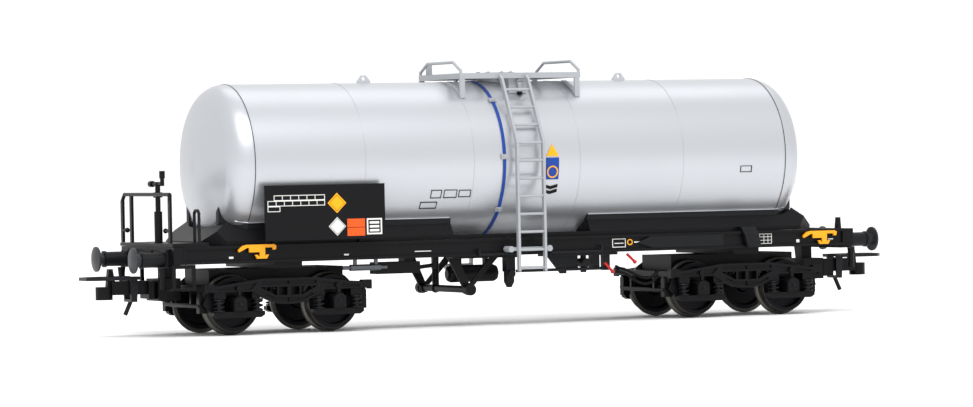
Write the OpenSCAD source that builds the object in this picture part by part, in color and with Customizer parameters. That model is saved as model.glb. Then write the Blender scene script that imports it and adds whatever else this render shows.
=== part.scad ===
// Bogie tank wagon, H0 scale model (1:87).
// X runs along the wagon, with the handbrake platform at the -X end.
// Y runs across it, and Z runs up from the lowest points of the wheel flanges.

/* [Running gear] */
// Distance from a bogie's pivot to the outer face of the headstock
bogie_overhang = 24.35; // [20:0.05:28]
// Wheelbase of one bogie
wheelbase = 20.7; // [18.5:0.1:23]
// Radius of the wheel tread
tread_r = 5.3; // [4.6:0.05:5.8]
// Height of the wheel flange above the tread
flange_h = 0.65; // [0.5:0.05:1]
// Width of a wheel
wheel_w = 2.8; // [2.4:0.1:3]
// Distance between the inner faces of the wheels on one axle
back_to_back = 14.3; // [13.6:0.1:14.6]
// Radius of the axle shaft
axle_r = 0.8; // [0.6:0.05:1]
// Radius of the axle journals
journal_r = 0.5; // [0.35:0.05:0.6]
// Radial clearance of a journal or pivot pin in its bore
running_gap = 0.05; // [0.02:0.01:0.09]
// Clearance between pieces seated on each other
seat_gap = 0.03; // [0.01:0.01:0.08]

/* [Bogie] */
// Half length of a bogie side frame
side_frame_half_l = 17.4; // [16.8:0.1:19]
// Outer face of a bogie side frame, from the centre line
side_frame_y = 12.6; // [12.2:0.1:13]
// Thickness of a bogie side frame
side_frame_t = 1.4; // [1:0.1:1.6]
// Height of the top of the side frame above the axles, at the pivot
side_frame_rise = 4.85; // [4.4:0.05:5.4]
// Depth of the belly of the side frame below the axles
side_frame_sag = 0.15; // [0:0.05:0.6]
// Distance of a suspension spring from its axle, along the wagon
spring_reach = 3.9; // [3.5:0.1:4.3]
// Radius of a suspension spring
spring_r = 1.2; // [0.9:0.05:1.25]
// Height of the bogie's centre block above the axles
centre_block_rise = 6.7; // [6.2:0.05:7]
// Half length of the bogie's centre block
centre_block_half_l = 14; // [12:0.5:16]
// Half width of the bogie's centre block
centre_block_half_w = 6.3; // [5.5:0.1:6.6]
// Radius of the bogie's pivot pin
pivot_r = 1.5; // [1.2:0.1:2]

/* [Underframe] */
// Length of the underframe over its headstocks
frame_l = 149.1; // [130:0.1:180]
// Width of the underframe over its sole bars
frame_w = 28; // [27.4:0.1:29]
// Height of the underside of the sole bars above the axles
frame_rise = 7.95; // [7.6:0.05:8.6]
// Height of a sole bar
sole_bar_h = 3.4; // [3:0.1:4.2]
// Depth of a sole bar's lips
sole_bar_lip = 0.45; // [0.3:0.05:0.7]
// Width of a sole bar over its lips
sole_bar_w = 1.6; // [1.4:0.1:2]
// Depth of a headstock's middle below the sole bars
headstock_drop = 0.6; // [0.2:0.1:1]
// Thickness of a headstock
headstock_t = 2.2; // [1.8:0.1:2.6]
// Half width of the centre sill
centre_sill_half_w = 3.4; // [2.8:0.1:4]

/* [Tank] */
// Radius of the tank
tank_r = 15.58; // [12.8:0.02:19]
// Depth of the tank's underside below the top of the sole bars
tank_sink = 0.18; // [0:0.02:0.3]
// Distance from the tank's end seams to the outer faces of the headstocks
end_seam_inset = 16.65; // [14:0.05:20]
// Depth of a tank end
tank_end_depth = 6.4; // [5.4:0.1:8]
// Knuckle radius of a tank end
knuckle_r = 4.8; // [3.8:0.1:5.2]
// Width of a weld seam
seam_w = 0.3; // [0.2:0.05:0.5]
// Height of a weld seam above the tank
seam_h = 0.06; // [0.03:0.01:0.1]
// Place of the blue band along the wagon
band_x = -5.2; // [-7:0.1:-4.5]
// Width of the blue band
band_w = 0.6; // [0.4:0.1:1]

/* [Saddles] */
// Length of a saddle beyond the tank's end seam, at its foot
saddle_overhang = 9; // [8:0.1:10]
// Inner end of a saddle
saddle_inner_x = 15; // [13:0.5:18]
// Half width of a saddle at its foot
saddle_foot_y = 12.4; // [12:0.1:12.5]
// Half width of the end of a saddle at its foot
saddle_end_y = 9.2; // [8:0.1:11]
// Height of the upright strip at the foot of a saddle
saddle_foot_h = 0.85; // [0.5:0.05:1.2]
// Thickness of a trough pad between saddle and tank
pad_t = 0.86; // [0.6:0.02:1.2]
// Half width over the trough pads
pad_out_y = 11; // [10:0.1:11.6]

/* [Walkway and ladders] */
// Length of the walkway on top of the tank
walkway_l = 26.5; // [22:0.5:32]
// Centre of the walkway along the wagon
walkway_x = 1.5; // [0:0.1:3]
// Width of the walkway
walkway_w = 19.4; // [18.4:0.1:20]
// Height of the walkway's rim
walkway_h = 1.1; // [0.8:0.1:1.4]
// Height of the walkway above the tank
walkway_gap = 0.45; // [0.2:0.05:0.8]
// Centre of the ladders along the wagon
ladder_x = -0.3; // [-0.5:0.1:1]
// Width of a ladder between the middles of its rails
ladder_w = 5.7; // [5:0.1:6.5]
// Clearance between the tank's side and the ladder's upright part
ladder_gap = 1.02; // [0.7:0.02:1.6]
// Depth of the foot of the ladder below the sole bars
ladder_drop = 3.2; // [2:0.1:4.5]
// Height above the tank's axis at which the ladder bends towards the tank top
ladder_bend_h = 3.2; // [1.5:0.1:5]
// Distance between two rungs
rung_pitch = 3.5; // [3:0.1:4]

/* [Ends] */
// Distance between the two buffers of one end
buffer_spacing = 20.1; // [19:0.1:21]
// Height of the buffers above the underside of the sole bars
buffer_rise = 1; // [0.8:0.05:1.4]
// Distance from the headstock to the face of a buffer
buffer_reach = 7; // [6:0.1:8]
// Radius of a buffer head
buffer_head_r = 2.45; // [2.2:0.05:2.8]
// Distance of a coupling's pivot behind the outer face of the headstock
coupling_inset = 3.95; // [3.7:0.05:4.1]
// Depth of the middle of the coupling shank below the sole bars
coupling_drop = 4.4; // [4:0.05:4.8]
// Distance from the headstock to the tip of a coupling loop
loop_reach = 13.05; // [12:0.05:15]
// Half width of a coupling loop
loop_half_w = 3.8; // [3.4:0.1:4.2]
// Height of the platform's handrail above the underframe
handrail_h = 10; // [8:0.5:12]

/* [Hidden] */
$fn = 40;

// Running gear
axle_z = tread_r + flange_h;
axle_x = wheelbase / 2;
frame_half_l = frame_l / 2;
pivot_x = frame_half_l - bogie_overhang;
wheel_inner_y = back_to_back / 2;
wheel_outer_y = wheel_inner_y + wheel_w;
flange_w = 0.8;
rim_r = tread_r - 0.85;
hub_r = 1.5;
web_inset = 0.75;
hub_y = wheel_outer_y - 0.35;
journal_end_y = 11.9;

// Bogie
side_frame_in_y = side_frame_y - side_frame_t;
side_frame_top = axle_z + side_frame_rise;
side_frame_belly = axle_z - side_frame_sag;
side_frame_end_z = axle_z + 2.45;
centre_block_top = axle_z + centre_block_rise;
axle_box_half_w = 1.4;
axle_box_bottom = axle_z - 1.15;
axle_box_top = axle_z + 1.5;
axle_box_out_y = side_frame_y + 0.7;
wing_z = axle_z - 2;
wing_t = 0.7;
hat_z = axle_z + 1.15;
hat_in_y = side_frame_in_y - 0.95;
bolster_half_w = 3.4;
bolster_z = axle_z + 1.05;
spring_y = side_frame_y - side_frame_t / 2 + 0.1;

// Underframe
frame_half_w = frame_w / 2;
frame_z = axle_z + frame_rise;
frame_top = frame_z + sole_bar_h;
headstock_in_x = frame_half_l - headstock_t;
sole_bar_in_y = frame_half_w - sole_bar_w;
buffer_z = frame_z + buffer_rise;
plunger_l = 1.9;

// Tank
tank_z = frame_top - tank_sink + tank_r;
end_seam_x = frame_half_l - end_seam_inset;
centre_sill_top = tank_z - tank_r - seam_h - seat_gap;
saddle_end_x = end_seam_x + saddle_overhang;
tank_half_l = end_seam_x + tank_end_depth;
knuckle_centre_r = tank_r - knuckle_r;
crown_r = (pow(tank_end_depth, 2) + pow(knuckle_centre_r, 2) - pow(knuckle_r, 2))
    / (2 * (tank_end_depth - knuckle_r));
crown_x = tank_half_l - crown_r;
tank_top = tank_z + tank_r;
seam_pitch = end_seam_x * 2 / 5;
shell_gap = seam_h + seat_gap;

// Discharge pipe across the wagon
pipe_x = -11.3;
pipe_z = frame_z - 6.6;
pipe_half_l = 12;
pipe_r = 0.7;
cap_r = 1.15;
cap_t = 1.3;
bracket_t = 0.5;
bracket_y = pipe_half_l - cap_t - bracket_t - 0.15;

// End platform
platform_t = 0.65;
platform_top = frame_top + seat_gap + platform_t;

// Walkway and ladders
manhole_x = 0.4;
cover_r = 4.1;
walkway_z = tank_top + walkway_gap;
walkway_top = walkway_z + walkway_h;
walkway_half_w = walkway_w / 2;
walkway_x0 = walkway_x - walkway_l / 2;
walkway_x1 = walkway_x + walkway_l / 2;
ladder_y = tank_r + ladder_gap;
ladder_foot_z = frame_z - ladder_drop;
ladder_bend_z = tank_z + ladder_bend_h;

// Couplings
coupling_pivot_x = frame_half_l - coupling_inset;
coupling_z = frame_z - coupling_drop;
loop_tip_x = frame_half_l + loop_reach;
eye_half_h = 1.1;
eye_bottom = coupling_z - 2.2;
shank_half_h = 1.3;
shank_half_w = 1.4;
coupling_pin_r = 0.6;
pocket_end_x = frame_half_l + 0.5;
loop_pivot_x = coupling_pivot_x + 7.3;
loop_pin_r = 0.4;
hook_x = coupling_pivot_x + 11.45;
loop_wire_r = 0.32;
loop_z = coupling_z + 1.9;

// ---------------------------------------------------------------- helpers

module block(lo, hi) {
    translate(lo) cube(hi - lo);
}

module rod(a, b, r) {
    d = b - a;
    translate(a)
        rotate([0, atan2(norm([d.x, d.y]), d.z), atan2(d.y, d.x)])
            cylinder(h = norm(d), r = r);
}

// Straight rods between points, with a slightly fuller ball at each bend
module bent_rod(points, r) {
    bend_r = r * 1.04;
    for (i = [0 : len(points) - 2]) rod(points[i], points[i + 1], r);
    for (i = [1 : len(points) - 2]) translate(points[i]) sphere(r = bend_r);
}

// A disc or drum with its axis along X, from x0 to x1
module drum_x(x0, x1, y, z, r) {
    translate([x0, y, z]) rotate([0, 90, 0]) cylinder(h = x1 - x0, r = r);
}

// A disc or drum with its axis along Y, from y0 to y1
module drum_y(x, y0, y1, z, r) {
    translate([x, y1, z]) rotate([90, 0, 0]) cylinder(h = y1 - y0, r = r);
}

// An outline in X and Z, given its depth from y0 to y1
module plate_y(y0, y1) {
    translate([0, y1, 0]) rotate([90, 0, 0]) linear_extrude(y1 - y0) children();
}

// An outline in Y and Z, given its length from x0 to x1
module plate_x(x0, x1) {
    translate([x0, 0, 0]) rotate([90, 0, 90]) linear_extrude(x1 - x0) children();
}

// An outline in X and Y, given its height from z0 to z1
module plate_z(z0, z1) {
    translate([0, 0, z0]) linear_extrude(z1 - z0) children();
}

module both_sides() {
    children();
    mirror([0, 1, 0]) children();
}

module both_ends() {
    children();
    mirror([1, 0, 0]) children();
}

// The tank's outer surface with a clearance, from x0 to x1
module tank_room(x0, x1, gap) {
    drum_x(x0, x1, 0, tank_z, tank_r + gap, $fn = 160);
}

// A strip of constant thickness that lies on the tank between x0 and x1
module tank_strip(x0, x1, gap, t) {
    difference() {
        tank_room(x0, x1, gap + t);
        tank_room(x0 - 1, x1 + 1, gap);
    }
}

// ---------------------------------------------------------------- tank

// Half of the tank's lengthwise section, grown outwards by a distance
module tank_profile(grow) {
    outer_r = crown_r + grow;
    touch = [
        crown_x - (crown_x - end_seam_x) * outer_r / (crown_r - knuckle_r),
        knuckle_centre_r * outer_r / (crown_r - knuckle_r)
    ];
    square([end_seam_x, tank_r + grow]);
    intersection() {
        translate([end_seam_x, knuckle_centre_r]) circle(r = knuckle_r + grow, $fn = 96);
        translate([end_seam_x - 1, knuckle_centre_r]) square(knuckle_r + grow + 1);
    }
    intersection() {
        translate([crown_x, 0]) circle(r = outer_r, $fn = 192);
        polygon([
            [crown_x, 0],
            touch,
            [tank_half_l + grow + 1, touch.y],
            [tank_half_l + grow + 1, 0]
        ]);
    }
    polygon([
        [end_seam_x - 1, 0],
        [end_seam_x - 1, knuckle_centre_r + 0.5],
        [end_seam_x, knuckle_centre_r],
        touch,
        [crown_x + 1, 0]
    ]);
}

module weld_seams() {
    for (i = [0 : 2])
        translate([seam_pitch * (i + 0.5) - seam_w / 2, tank_r - 1]) square([seam_w, 1 + seam_h]);
}

// One half of the tank, from the middle of the wagon to its right end
module half_tank(grow) {
    translate([0, 0, tank_z])
        rotate([0, 90, 0]) rotate_extrude($fn = 120) rotate(90) mirror([0, 1]) {
            tank_profile(grow);
            children();
        }
}

module tank() {
    color("silver")
        both_ends() half_tank(0) weld_seams();
}

module manhole() {
    neck_r = 3.6;
    cover_t = 0.7;
    cover_z = walkway_top - 0.5;
    bolt_r = 0.3;
    bolt_h = 0.3;
    bolt_count = 8;
    color("lightgray")
        translate([manhole_x, 0, 0]) {
            difference() {
                translate([0, 0, tank_top - 0.6]) cylinder(h = cover_z - tank_top + 0.6, r = neck_r);
                translate([-manhole_x, 0, 0]) tank_room(-neck_r - 2, neck_r + 2, shell_gap);
            }
            translate([0, 0, cover_z]) cylinder(h = cover_t, r = cover_r);
            for (i = [0 : bolt_count - 1])
                rotate(i * 360 / bolt_count)
                    translate([cover_r - 2 * bolt_r, 0, cover_z + cover_t - 0.1])
                        cylinder(h = bolt_h, r = bolt_r);
        }
}

module valve_boxes() {
    box_x0 = -0.6;
    box_x1 = 3.2;
    box_y0 = 6.3;
    box_y1 = 8.6;
    box_top = walkway_z - seat_gap;
    stem_x = 1.6;
    stem_y = box_y1 + 0.4;
    stem_r = 0.45;
    stem_l = 3.1;
    union_r = 0.7;
    color("lightgray")
        both_sides()
            difference() {
                union() {
                    block([box_x0, box_y0, tank_z], [box_x1, box_y1, box_top]);
                    drum_y(stem_x, box_y1 - 0.1, box_y1 + 0.6, box_top - union_r, union_r);
                    rod([stem_x, stem_y, box_top - union_r], [stem_x, stem_y, box_top - stem_l], stem_r);
                }
                tank_room(box_x0 - 1, box_x1 + 1, shell_gap);
            }
}

module blue_band() {
    band_t = 0.18;
    color("royalblue")
        difference() {
            tank_strip(band_x - band_w / 2, band_x + band_w / 2, seat_gap, band_t);
            block([band_x - 2, -tank_r - 2, 0], [band_x + 2, tank_r + 2, frame_top + 0.4]);
        }
}

module lifting_lugs() {
    lug_x = 28.2;
    lug_half_l = 1.4;
    lug_h = 1.5;
    lug_t = 0.5;
    hole_r = 0.4;
    color("silver")
        both_ends()
            difference() {
                plate_y(-lug_t / 2, lug_t / 2)
                    polygon([
                        [lug_x - lug_half_l, tank_top - 0.5],
                        [lug_x + lug_half_l, tank_top - 0.5],
                        [lug_x + lug_half_l, tank_top + 0.3],
                        [lug_x + 0.5, tank_top + lug_h],
                        [lug_x - 0.5, tank_top + lug_h],
                        [lug_x - lug_half_l, tank_top + 0.3]
                    ]);
                drum_y(lug_x, -1, 1, tank_top + lug_h * 0.55, hole_r);
                tank_room(lug_x - 2, lug_x + 2, seat_gap);
            }
}

// ---------------------------------------------------------------- walkway and ladders

module walkway() {
    rim_t = 0.5;
    slat_w = 0.45;
    slat_t = 0.35;
    slat_gap = 0.55;
    bearer_w = 0.6;
    opening_r = cover_r + 0.1;
    slats = floor((walkway_w - 2 * rim_t) / (slat_w + slat_gap));
    slats_w = slats * (slat_w + slat_gap) - slat_gap;
    color("lightgray")
        difference() {
            union() {
                difference() {
                    block(
                        [walkway_x0, -walkway_half_w, walkway_z],
                        [walkway_x1, walkway_half_w, walkway_top]
                    );
                    block(
                        [walkway_x0 + rim_t, -walkway_half_w + rim_t, walkway_z - 1],
                        [walkway_x1 - rim_t, walkway_half_w - rim_t, walkway_top + 1]
                    );
                }
                for (i = [0 : slats - 1])
                    translate([0, -slats_w / 2 + i * (slat_w + slat_gap), 0])
                        block([walkway_x0, 0, walkway_top - slat_t], [walkway_x1, slat_w, walkway_top]);
                for (i = [0 : 4])
                    translate([walkway_x0 + i * (walkway_l - bearer_w) / 4, 0, 0])
                        block(
                            [0, -walkway_half_w, walkway_z + 0.2],
                            [bearer_w, walkway_half_w, walkway_top - slat_t / 2]
                        );
            }
            translate([manhole_x, 0, walkway_z - 1]) cylinder(h = walkway_h + 2, r = opening_r);
        }
}

module walkway_handrails() {
    rail_r = 0.3;
    shoulder_y = 6;
    rail_z = walkway_top + 2.2;
    foot_y = walkway_half_w - 0.25;
    post_y = 8.4;
    color("lightgray") {
        for (x = [walkway_x0 + rail_r, walkway_x1 - rail_r])
            bent_rod([
                [x, -foot_y, walkway_top + seat_gap],
                [x, -foot_y, walkway_top + 0.5],
                [x, -shoulder_y, rail_z],
                [x, shoulder_y, rail_z],
                [x, foot_y, walkway_top + 0.5],
                [x, foot_y, walkway_top + seat_gap]
            ], rail_r);
        block([walkway_x0 + 1.2, post_y, walkway_top], [walkway_x0 + 2.4, post_y + 0.4, rail_z]);
    }
}

module walkway_legs() {
    leg_w = 1.1;
    leg_t = 0.4;
    strap_t = 0.35;
    strap_in_y = 3.6;
    strap_out_y = walkway_half_w + 0.1;
    color("lightgray")
        for (x = [walkway_x0, walkway_x1 - leg_w - 0.2]) both_sides() {
            intersection() {
                tank_strip(x, x + leg_w, shell_gap, strap_t);
                block([x - 1, strap_in_y, tank_z], [x + leg_w + 1, strap_out_y, walkway_z - seat_gap]);
            }
            difference() {
                block(
                    [x, walkway_half_w - leg_t, tank_z],
                    [x + leg_w, walkway_half_w, walkway_z - seat_gap]
                );
                tank_room(x - 1, x + leg_w + 1, shell_gap);
            }
        }
}

// Upright ladders that lean in to the walkway above the bend
module ladders() {
    rail_w = 0.9;
    rail_t = 0.5;
    rung_r = 0.28;
    first_rung_z = ladder_foot_z + 0.75;
    top_y = walkway_half_w + 0.55;
    top_z = walkway_top - 1.35;
    lean = (top_z - ladder_bend_z) / (ladder_y - top_y);
    rungs = floor((top_z - 0.8 - first_rung_z) / rung_pitch);
    color("gainsboro")
        both_sides() {
            for (s = [-1, 1]) {
                x = ladder_x + s * ladder_w / 2;
                plate_x(x - rail_t / 2, x + rail_t / 2)
                    polygon([
                        [ladder_y, ladder_foot_z],
                        [ladder_y + rail_w, ladder_foot_z],
                        [ladder_y + rail_w, ladder_bend_z + 0.2],
                        [top_y + rail_w, top_z + 0.2],
                        [top_y - 0.1, top_z + 0.9],
                        [top_y - 0.3, top_z + 0.4],
                        [top_y, top_z],
                        [ladder_y, ladder_bend_z]
                    ]);
            }
            for (i = [0 : rungs]) {
                z = first_rung_z + i * rung_pitch;
                drum_x(
                    ladder_x - ladder_w / 2, ladder_x + ladder_w / 2,
                    ladder_y + rail_w / 2 - max(0, z - ladder_bend_z) / lean, z, rung_r
                );
            }
        }
}

// Brackets that hold the ladders off the sole bars and off the walkway
module ladder_brackets() {
    bar_half_l = 4.2;
    bar_z = frame_z + 1.2;
    end_r = 0.6;
    bar_half_h = 0.35;
    color("gainsboro")
        both_sides() {
            block(
                [ladder_x - bar_half_l, frame_half_w + seat_gap, bar_z - bar_half_h],
                [ladder_x + bar_half_l, ladder_y - seat_gap, bar_z + bar_half_h]
            );
            for (s = [-1, 1])
                drum_y(
                    ladder_x + s * bar_half_l, frame_half_w + seat_gap, ladder_y - seat_gap, bar_z, end_r
                );
        }
}

// ---------------------------------------------------------------- saddles and underframe

// Side view of one saddle: upright foot strip, then a slope at its outer end
module saddle_side_view() {
    slope_z = frame_top + saddle_foot_h;
    slope_run = 1.33;
    polygon([
        [saddle_inner_x, frame_top + seat_gap],
        [saddle_end_x, frame_top + seat_gap],
        [saddle_end_x, slope_z],
        [end_seam_x, slope_z + (saddle_end_x - end_seam_x) / slope_run],
        [end_seam_x, tank_z],
        [saddle_inner_x, tank_z]
    ]);
}

// Cross section of a saddle: foot strip, then slopes that lean in to the pads
module saddle_cross_section() {
    slope_in_y = 3.2;
    slope_h = 5.1;
    polygon([
        [-saddle_foot_y, frame_top + seat_gap],
        [saddle_foot_y, frame_top + seat_gap],
        [saddle_foot_y, frame_top + saddle_foot_h],
        [saddle_foot_y - slope_in_y, frame_top + saddle_foot_h + slope_h],
        [slope_in_y - saddle_foot_y, frame_top + saddle_foot_h + slope_h],
        [-saddle_foot_y, frame_top + saddle_foot_h]
    ]);
}

// Cradle under each half of the tank, and the edge strips between the two
module saddles() {
    converge_l = 4;
    pad_gap = 0.08;
    strip_in_y = saddle_foot_y - 1;
    color("#2a2b2f") {
        both_ends()
            difference() {
                intersection() {
                    plate_y(-frame_half_w, frame_half_w) saddle_side_view();
                    plate_x(saddle_inner_x, saddle_end_x) saddle_cross_section();
                    plate_z(frame_top, tank_z)
                        polygon([
                            [saddle_inner_x, -saddle_foot_y], [saddle_end_x - converge_l, -saddle_foot_y],
                            [saddle_end_x, -saddle_end_y], [saddle_end_x, saddle_end_y],
                            [saddle_end_x - converge_l, saddle_foot_y], [saddle_inner_x, saddle_foot_y]
                        ]);
                }
                half_tank(pad_t + shell_gap + pad_gap);
            }
        both_sides()
            block(
                [seat_gap - saddle_inner_x, strip_in_y, frame_top + seat_gap],
                [saddle_inner_x - seat_gap, saddle_foot_y, frame_top + saddle_foot_h]
            );
    }
}

// Pads between saddles and tank, which follow the tank's ends up to a blunt tip
module trough_pads() {
    pad_in_y = 6;
    tip_x = tank_half_l - 1.5;
    tip_y = 7.7;
    tip_half_w = 0.6;
    color("#3a3b40")
        both_ends() both_sides()
            intersection() {
                difference() {
                    half_tank(shell_gap + pad_t);
                    half_tank(shell_gap);
                }
                plate_z(frame_top - 1, tank_z)
                    polygon([
                        [saddle_inner_x, pad_in_y], [end_seam_x, pad_in_y],
                        [tip_x, tip_y - tip_half_w], [tip_x, tip_y + tip_half_w],
                        [end_seam_x, pad_out_y], [saddle_inner_x, pad_out_y]
                    ]);
            }
}

module sole_bars() {
    lip_h = 0.55;
    web_t = sole_bar_w - sole_bar_lip;
    color("#222327")
        both_sides()
            difference() {
                block(
                    [-headstock_in_x + seat_gap, sole_bar_in_y, frame_z],
                    [headstock_in_x - seat_gap, frame_half_w, frame_top]
                );
                block(
                    [-headstock_in_x + 0.5, sole_bar_in_y + web_t, frame_z + lip_h],
                    [headstock_in_x - 0.5, frame_half_w + 1, frame_top - lip_h]
                );
            }
}

module headstocks() {
    plate_t = 0.25;
    buffer_plate_half_w = 2;
    hook_plate_half_w = 2.6;
    drop_half_w = 12.2;
    color("#222327")
        both_ends() {
            block(
                [headstock_in_x, -frame_half_w, frame_z],
                [frame_half_l - plate_t, frame_half_w, frame_top - seat_gap]
            );
            block(
                [headstock_in_x, -drop_half_w, frame_z - headstock_drop],
                [frame_half_l - plate_t, drop_half_w, frame_z]
            );
            for (y = [-1, 1] * buffer_spacing / 2)
                block(
                    [headstock_in_x, y - buffer_plate_half_w, frame_z - headstock_drop],
                    [frame_half_l, y + buffer_plate_half_w, frame_top - 0.4]
                );
            block(
                [headstock_in_x, -hook_plate_half_w, frame_z],
                [frame_half_l, hook_plate_half_w, frame_top - 0.7]
            );
        }
}

module centre_sill() {
    color("#1c1d20")
        block(
            [-headstock_in_x + seat_gap, -centre_sill_half_w, frame_z],
            [headstock_in_x - seat_gap, centre_sill_half_w, centre_sill_top]
        );
}

// Cross members between centre sill and sole bars, and the pivot bearers above the bogies
module cross_members() {
    member_half_l = 1.1;
    member_h = 3.2;
    member_x = [pivot_x - 26.2, pivot_x - 13.2, pivot_x + 13.8];
    bearer_half_l = 2.9;
    pin_foot_z = bolster_z + 0.8;
    color("#1c1d20") {
        both_ends() both_sides()
            for (x = member_x)
                block(
                    [x - member_half_l, centre_sill_half_w + seat_gap, frame_z],
                    [x + member_half_l, sole_bar_in_y - seat_gap, frame_z + member_h]
                );
        for (x = [-pivot_x, pivot_x]) {
            block(
                [x - bearer_half_l, -sole_bar_in_y, centre_block_top + running_gap],
                [x + bearer_half_l, sole_bar_in_y, frame_z - seat_gap]
            );
            translate([x, 0, pin_foot_z])
                cylinder(h = centre_block_top + 2 * running_gap - pin_foot_z, r = pivot_r);
        }
    }
}

module buffer_housings() {
    housing_r = 1.42;
    collar_r = 1.6;
    collar_t = 0.5;
    housing_end_x = frame_half_l + buffer_reach - plunger_l;
    base_t = 0.5;
    base_half_w = 1.8;
    base_h = [1.55, 1.9];
    color("#2b2c30")
        both_ends() both_sides() {
            drum_x(frame_half_l + seat_gap, housing_end_x, buffer_spacing / 2, buffer_z, housing_r);
            drum_x(housing_end_x - collar_t, housing_end_x, buffer_spacing / 2, buffer_z, collar_r);
            block(
                [frame_half_l + seat_gap, buffer_spacing / 2 - base_half_w, buffer_z - base_h[0]],
                [frame_half_l + seat_gap + base_t, buffer_spacing / 2 + base_half_w, buffer_z + base_h[1]]
            );
        }
}

// A buffer head is a thin disc with a crowned face, on its plunger
module buffer_heads() {
    head_x = frame_half_l + buffer_reach;
    crown = 0.35;
    rim_t = 0.35;
    plunger_r = 1.15;
    reach = plunger_l - seat_gap;
    face_r = (pow(buffer_head_r, 2) + pow(crown, 2)) / (2 * crown);
    color("#8b8d90")
        both_ends() both_sides()
            translate([head_x - reach, buffer_spacing / 2, buffer_z])
                rotate([0, 90, 0]) rotate_extrude($fn = 64) {
                    square([plunger_r, reach - crown]);
                    intersection() {
                        translate([0, reach - crown - rim_t]) square([buffer_head_r, crown + rim_t + 1]);
                        translate([0, reach - face_r]) circle(r = face_r, $fn = 240);
                    }
                }
}

// ---------------------------------------------------------------- ends

module end_platform() {
    slat_pitch = 0.9;
    slat_gap = 0.3;
    inner_x = -saddle_end_x - 0.15;
    color("#26272b")
        difference() {
            block(
                [-frame_half_l, -frame_half_w, frame_top + seat_gap],
                [inner_x, frame_half_w, platform_top]
            );
            for (x = [-frame_half_l + slat_pitch : slat_pitch : inner_x - slat_pitch])
                block(
                    [x, -frame_half_w + 0.8, frame_top + 0.3],
                    [x + slat_gap, frame_half_w - 0.8, platform_top + 1]
                );
        }
}

module platform_handrail() {
    rail_x = -frame_half_l + 0.5;
    floor_z = platform_top + seat_gap;
    rail_z = frame_top + handrail_h;
    far_y = frame_half_w - 0.4;
    near_y = -frame_half_w + 2.3;
    rail_r = 0.35;
    post_half_t = 0.25;
    post_half_w = 0.5;
    bend = 1.2;
    stub_z = platform_top + 2.4;
    stub_l = 2.4;
    color("#1d1e21") {
        bent_rod([
            [rail_x, far_y, rail_z - bend],
            [rail_x, far_y - bend, rail_z],
            [rail_x, near_y, rail_z],
            [rail_x, near_y, rail_z - bend]
        ], rail_r);
        for (post = [[far_y, rail_z - bend], [far_y - 4.9, rail_z], [near_y, rail_z]])
            block(
                [rail_x - post_half_t, post[0] - post_half_w, floor_z],
                [rail_x + post_half_t, post[0] + post_half_w, post[1]]
            );
        for (stub = [[far_y, far_y - stub_l], [near_y, near_y + stub_l]]) {
            rod([rail_x, stub[0], stub_z], [rail_x, stub[1], stub_z], 0.3);
            translate([rail_x, stub[1], stub_z]) sphere(r = 0.5);
        }
    }
}

module handbrake() {
    column_x = -frame_half_l + 1.95;
    column_y = -1.8;
    column_r = 0.78;
    shaft_r = 0.5;
    floor_z = platform_top + seat_gap;
    head_z = frame_top + handrail_h + 2;
    crank_r = 0.3;
    crank_y = column_y - 2.45;
    knob_y = column_y + 2.6;
    handle_r = 0.4;
    handle_h = 2.9;
    color("#1d1e21") {
        translate([column_x, column_y, floor_z]) cylinder(h = 6, r = column_r);
        translate([column_x, column_y, floor_z + 5.8]) cylinder(h = head_z - floor_z - 5.4, r = shaft_r);
        translate([column_x, column_y, head_z - 2.6]) cylinder(h = 1, r = 0.9);
        drum_y(column_x, crank_y, knob_y + 0.1, head_z, crank_r);
        drum_y(column_x, knob_y, knob_y + 1.2, head_z, 0.6);
        translate([column_x, crank_y, head_z - 0.4]) cylinder(h = handle_h, r = handle_r);
        translate([column_x, crank_y, head_z + 1.1]) cylinder(h = 1.4, r = 0.55);
    }
}

// Yellow rope hook seen from the side, its stem at x = 0 and its top at z = 0
module rope_hook_outline() {
    polygon([
        [-5, -0.95], [-4.1, -0.2], [-3.2, 0], [2.4, 0], [2.9, -0.3], [2.75, -1],
        [2.2, -1.05], [2.1, -0.6], [0.55, -0.6], [0.55, -2.3], [0.8, -1.95], [1.3, -1.95],
        [0.9, -2.7], [-1.1, -2.7], [-1.5, -1.95], [-1, -1.95], [-0.75, -2.3], [-0.55, -2.3],
        [-0.55, -1.45], [-2.7, -1.45], [-2.7, -0.6], [-3.2, -0.6], [-4.8, -1.4]
    ]);
}

module rope_hooks() {
    hook_t = 0.5;
    left_hook = [18.2 - frame_half_l, frame_top + 0.1];
    right_hook = [frame_half_l - 7.25, frame_top - 0.35];
    color("orange")
        both_sides()
            for (place = [left_hook, right_hook])
                plate_y(frame_half_w + seat_gap, frame_half_w + hook_t)
                    translate(place) rope_hook_outline();
}

module sign_boards() {
    board_x0 = 18.05 - frame_half_l;
    board_l = 25;
    board_z0 = frame_top + 0.7;
    board_h = 10.6;
    board_t = 0.5;
    board_y = tank_r + 0.5;
    arm_w = 1.2;
    color("#1b1c20")
        for (side = [0, 180]) rotate(side) {
            block(
                [board_x0, -board_y - board_t, board_z0],
                [board_x0 + board_l, -board_y, board_z0 + board_h]
            );
            for (x = [board_x0 + 3, board_x0 + board_l - 4])
                block([x, -board_y, board_z0 + 0.3], [x + arm_w, -saddle_foot_y + 0.05, board_z0 + 1]);
            for (x = [board_x0 + 3, board_x0 + board_l - 4])
                block(
                    [x, -saddle_foot_y - 0.6, frame_top + seat_gap],
                    [x + arm_w, -saddle_foot_y - seat_gap, board_z0 + 1]
                );
        }
}

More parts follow.
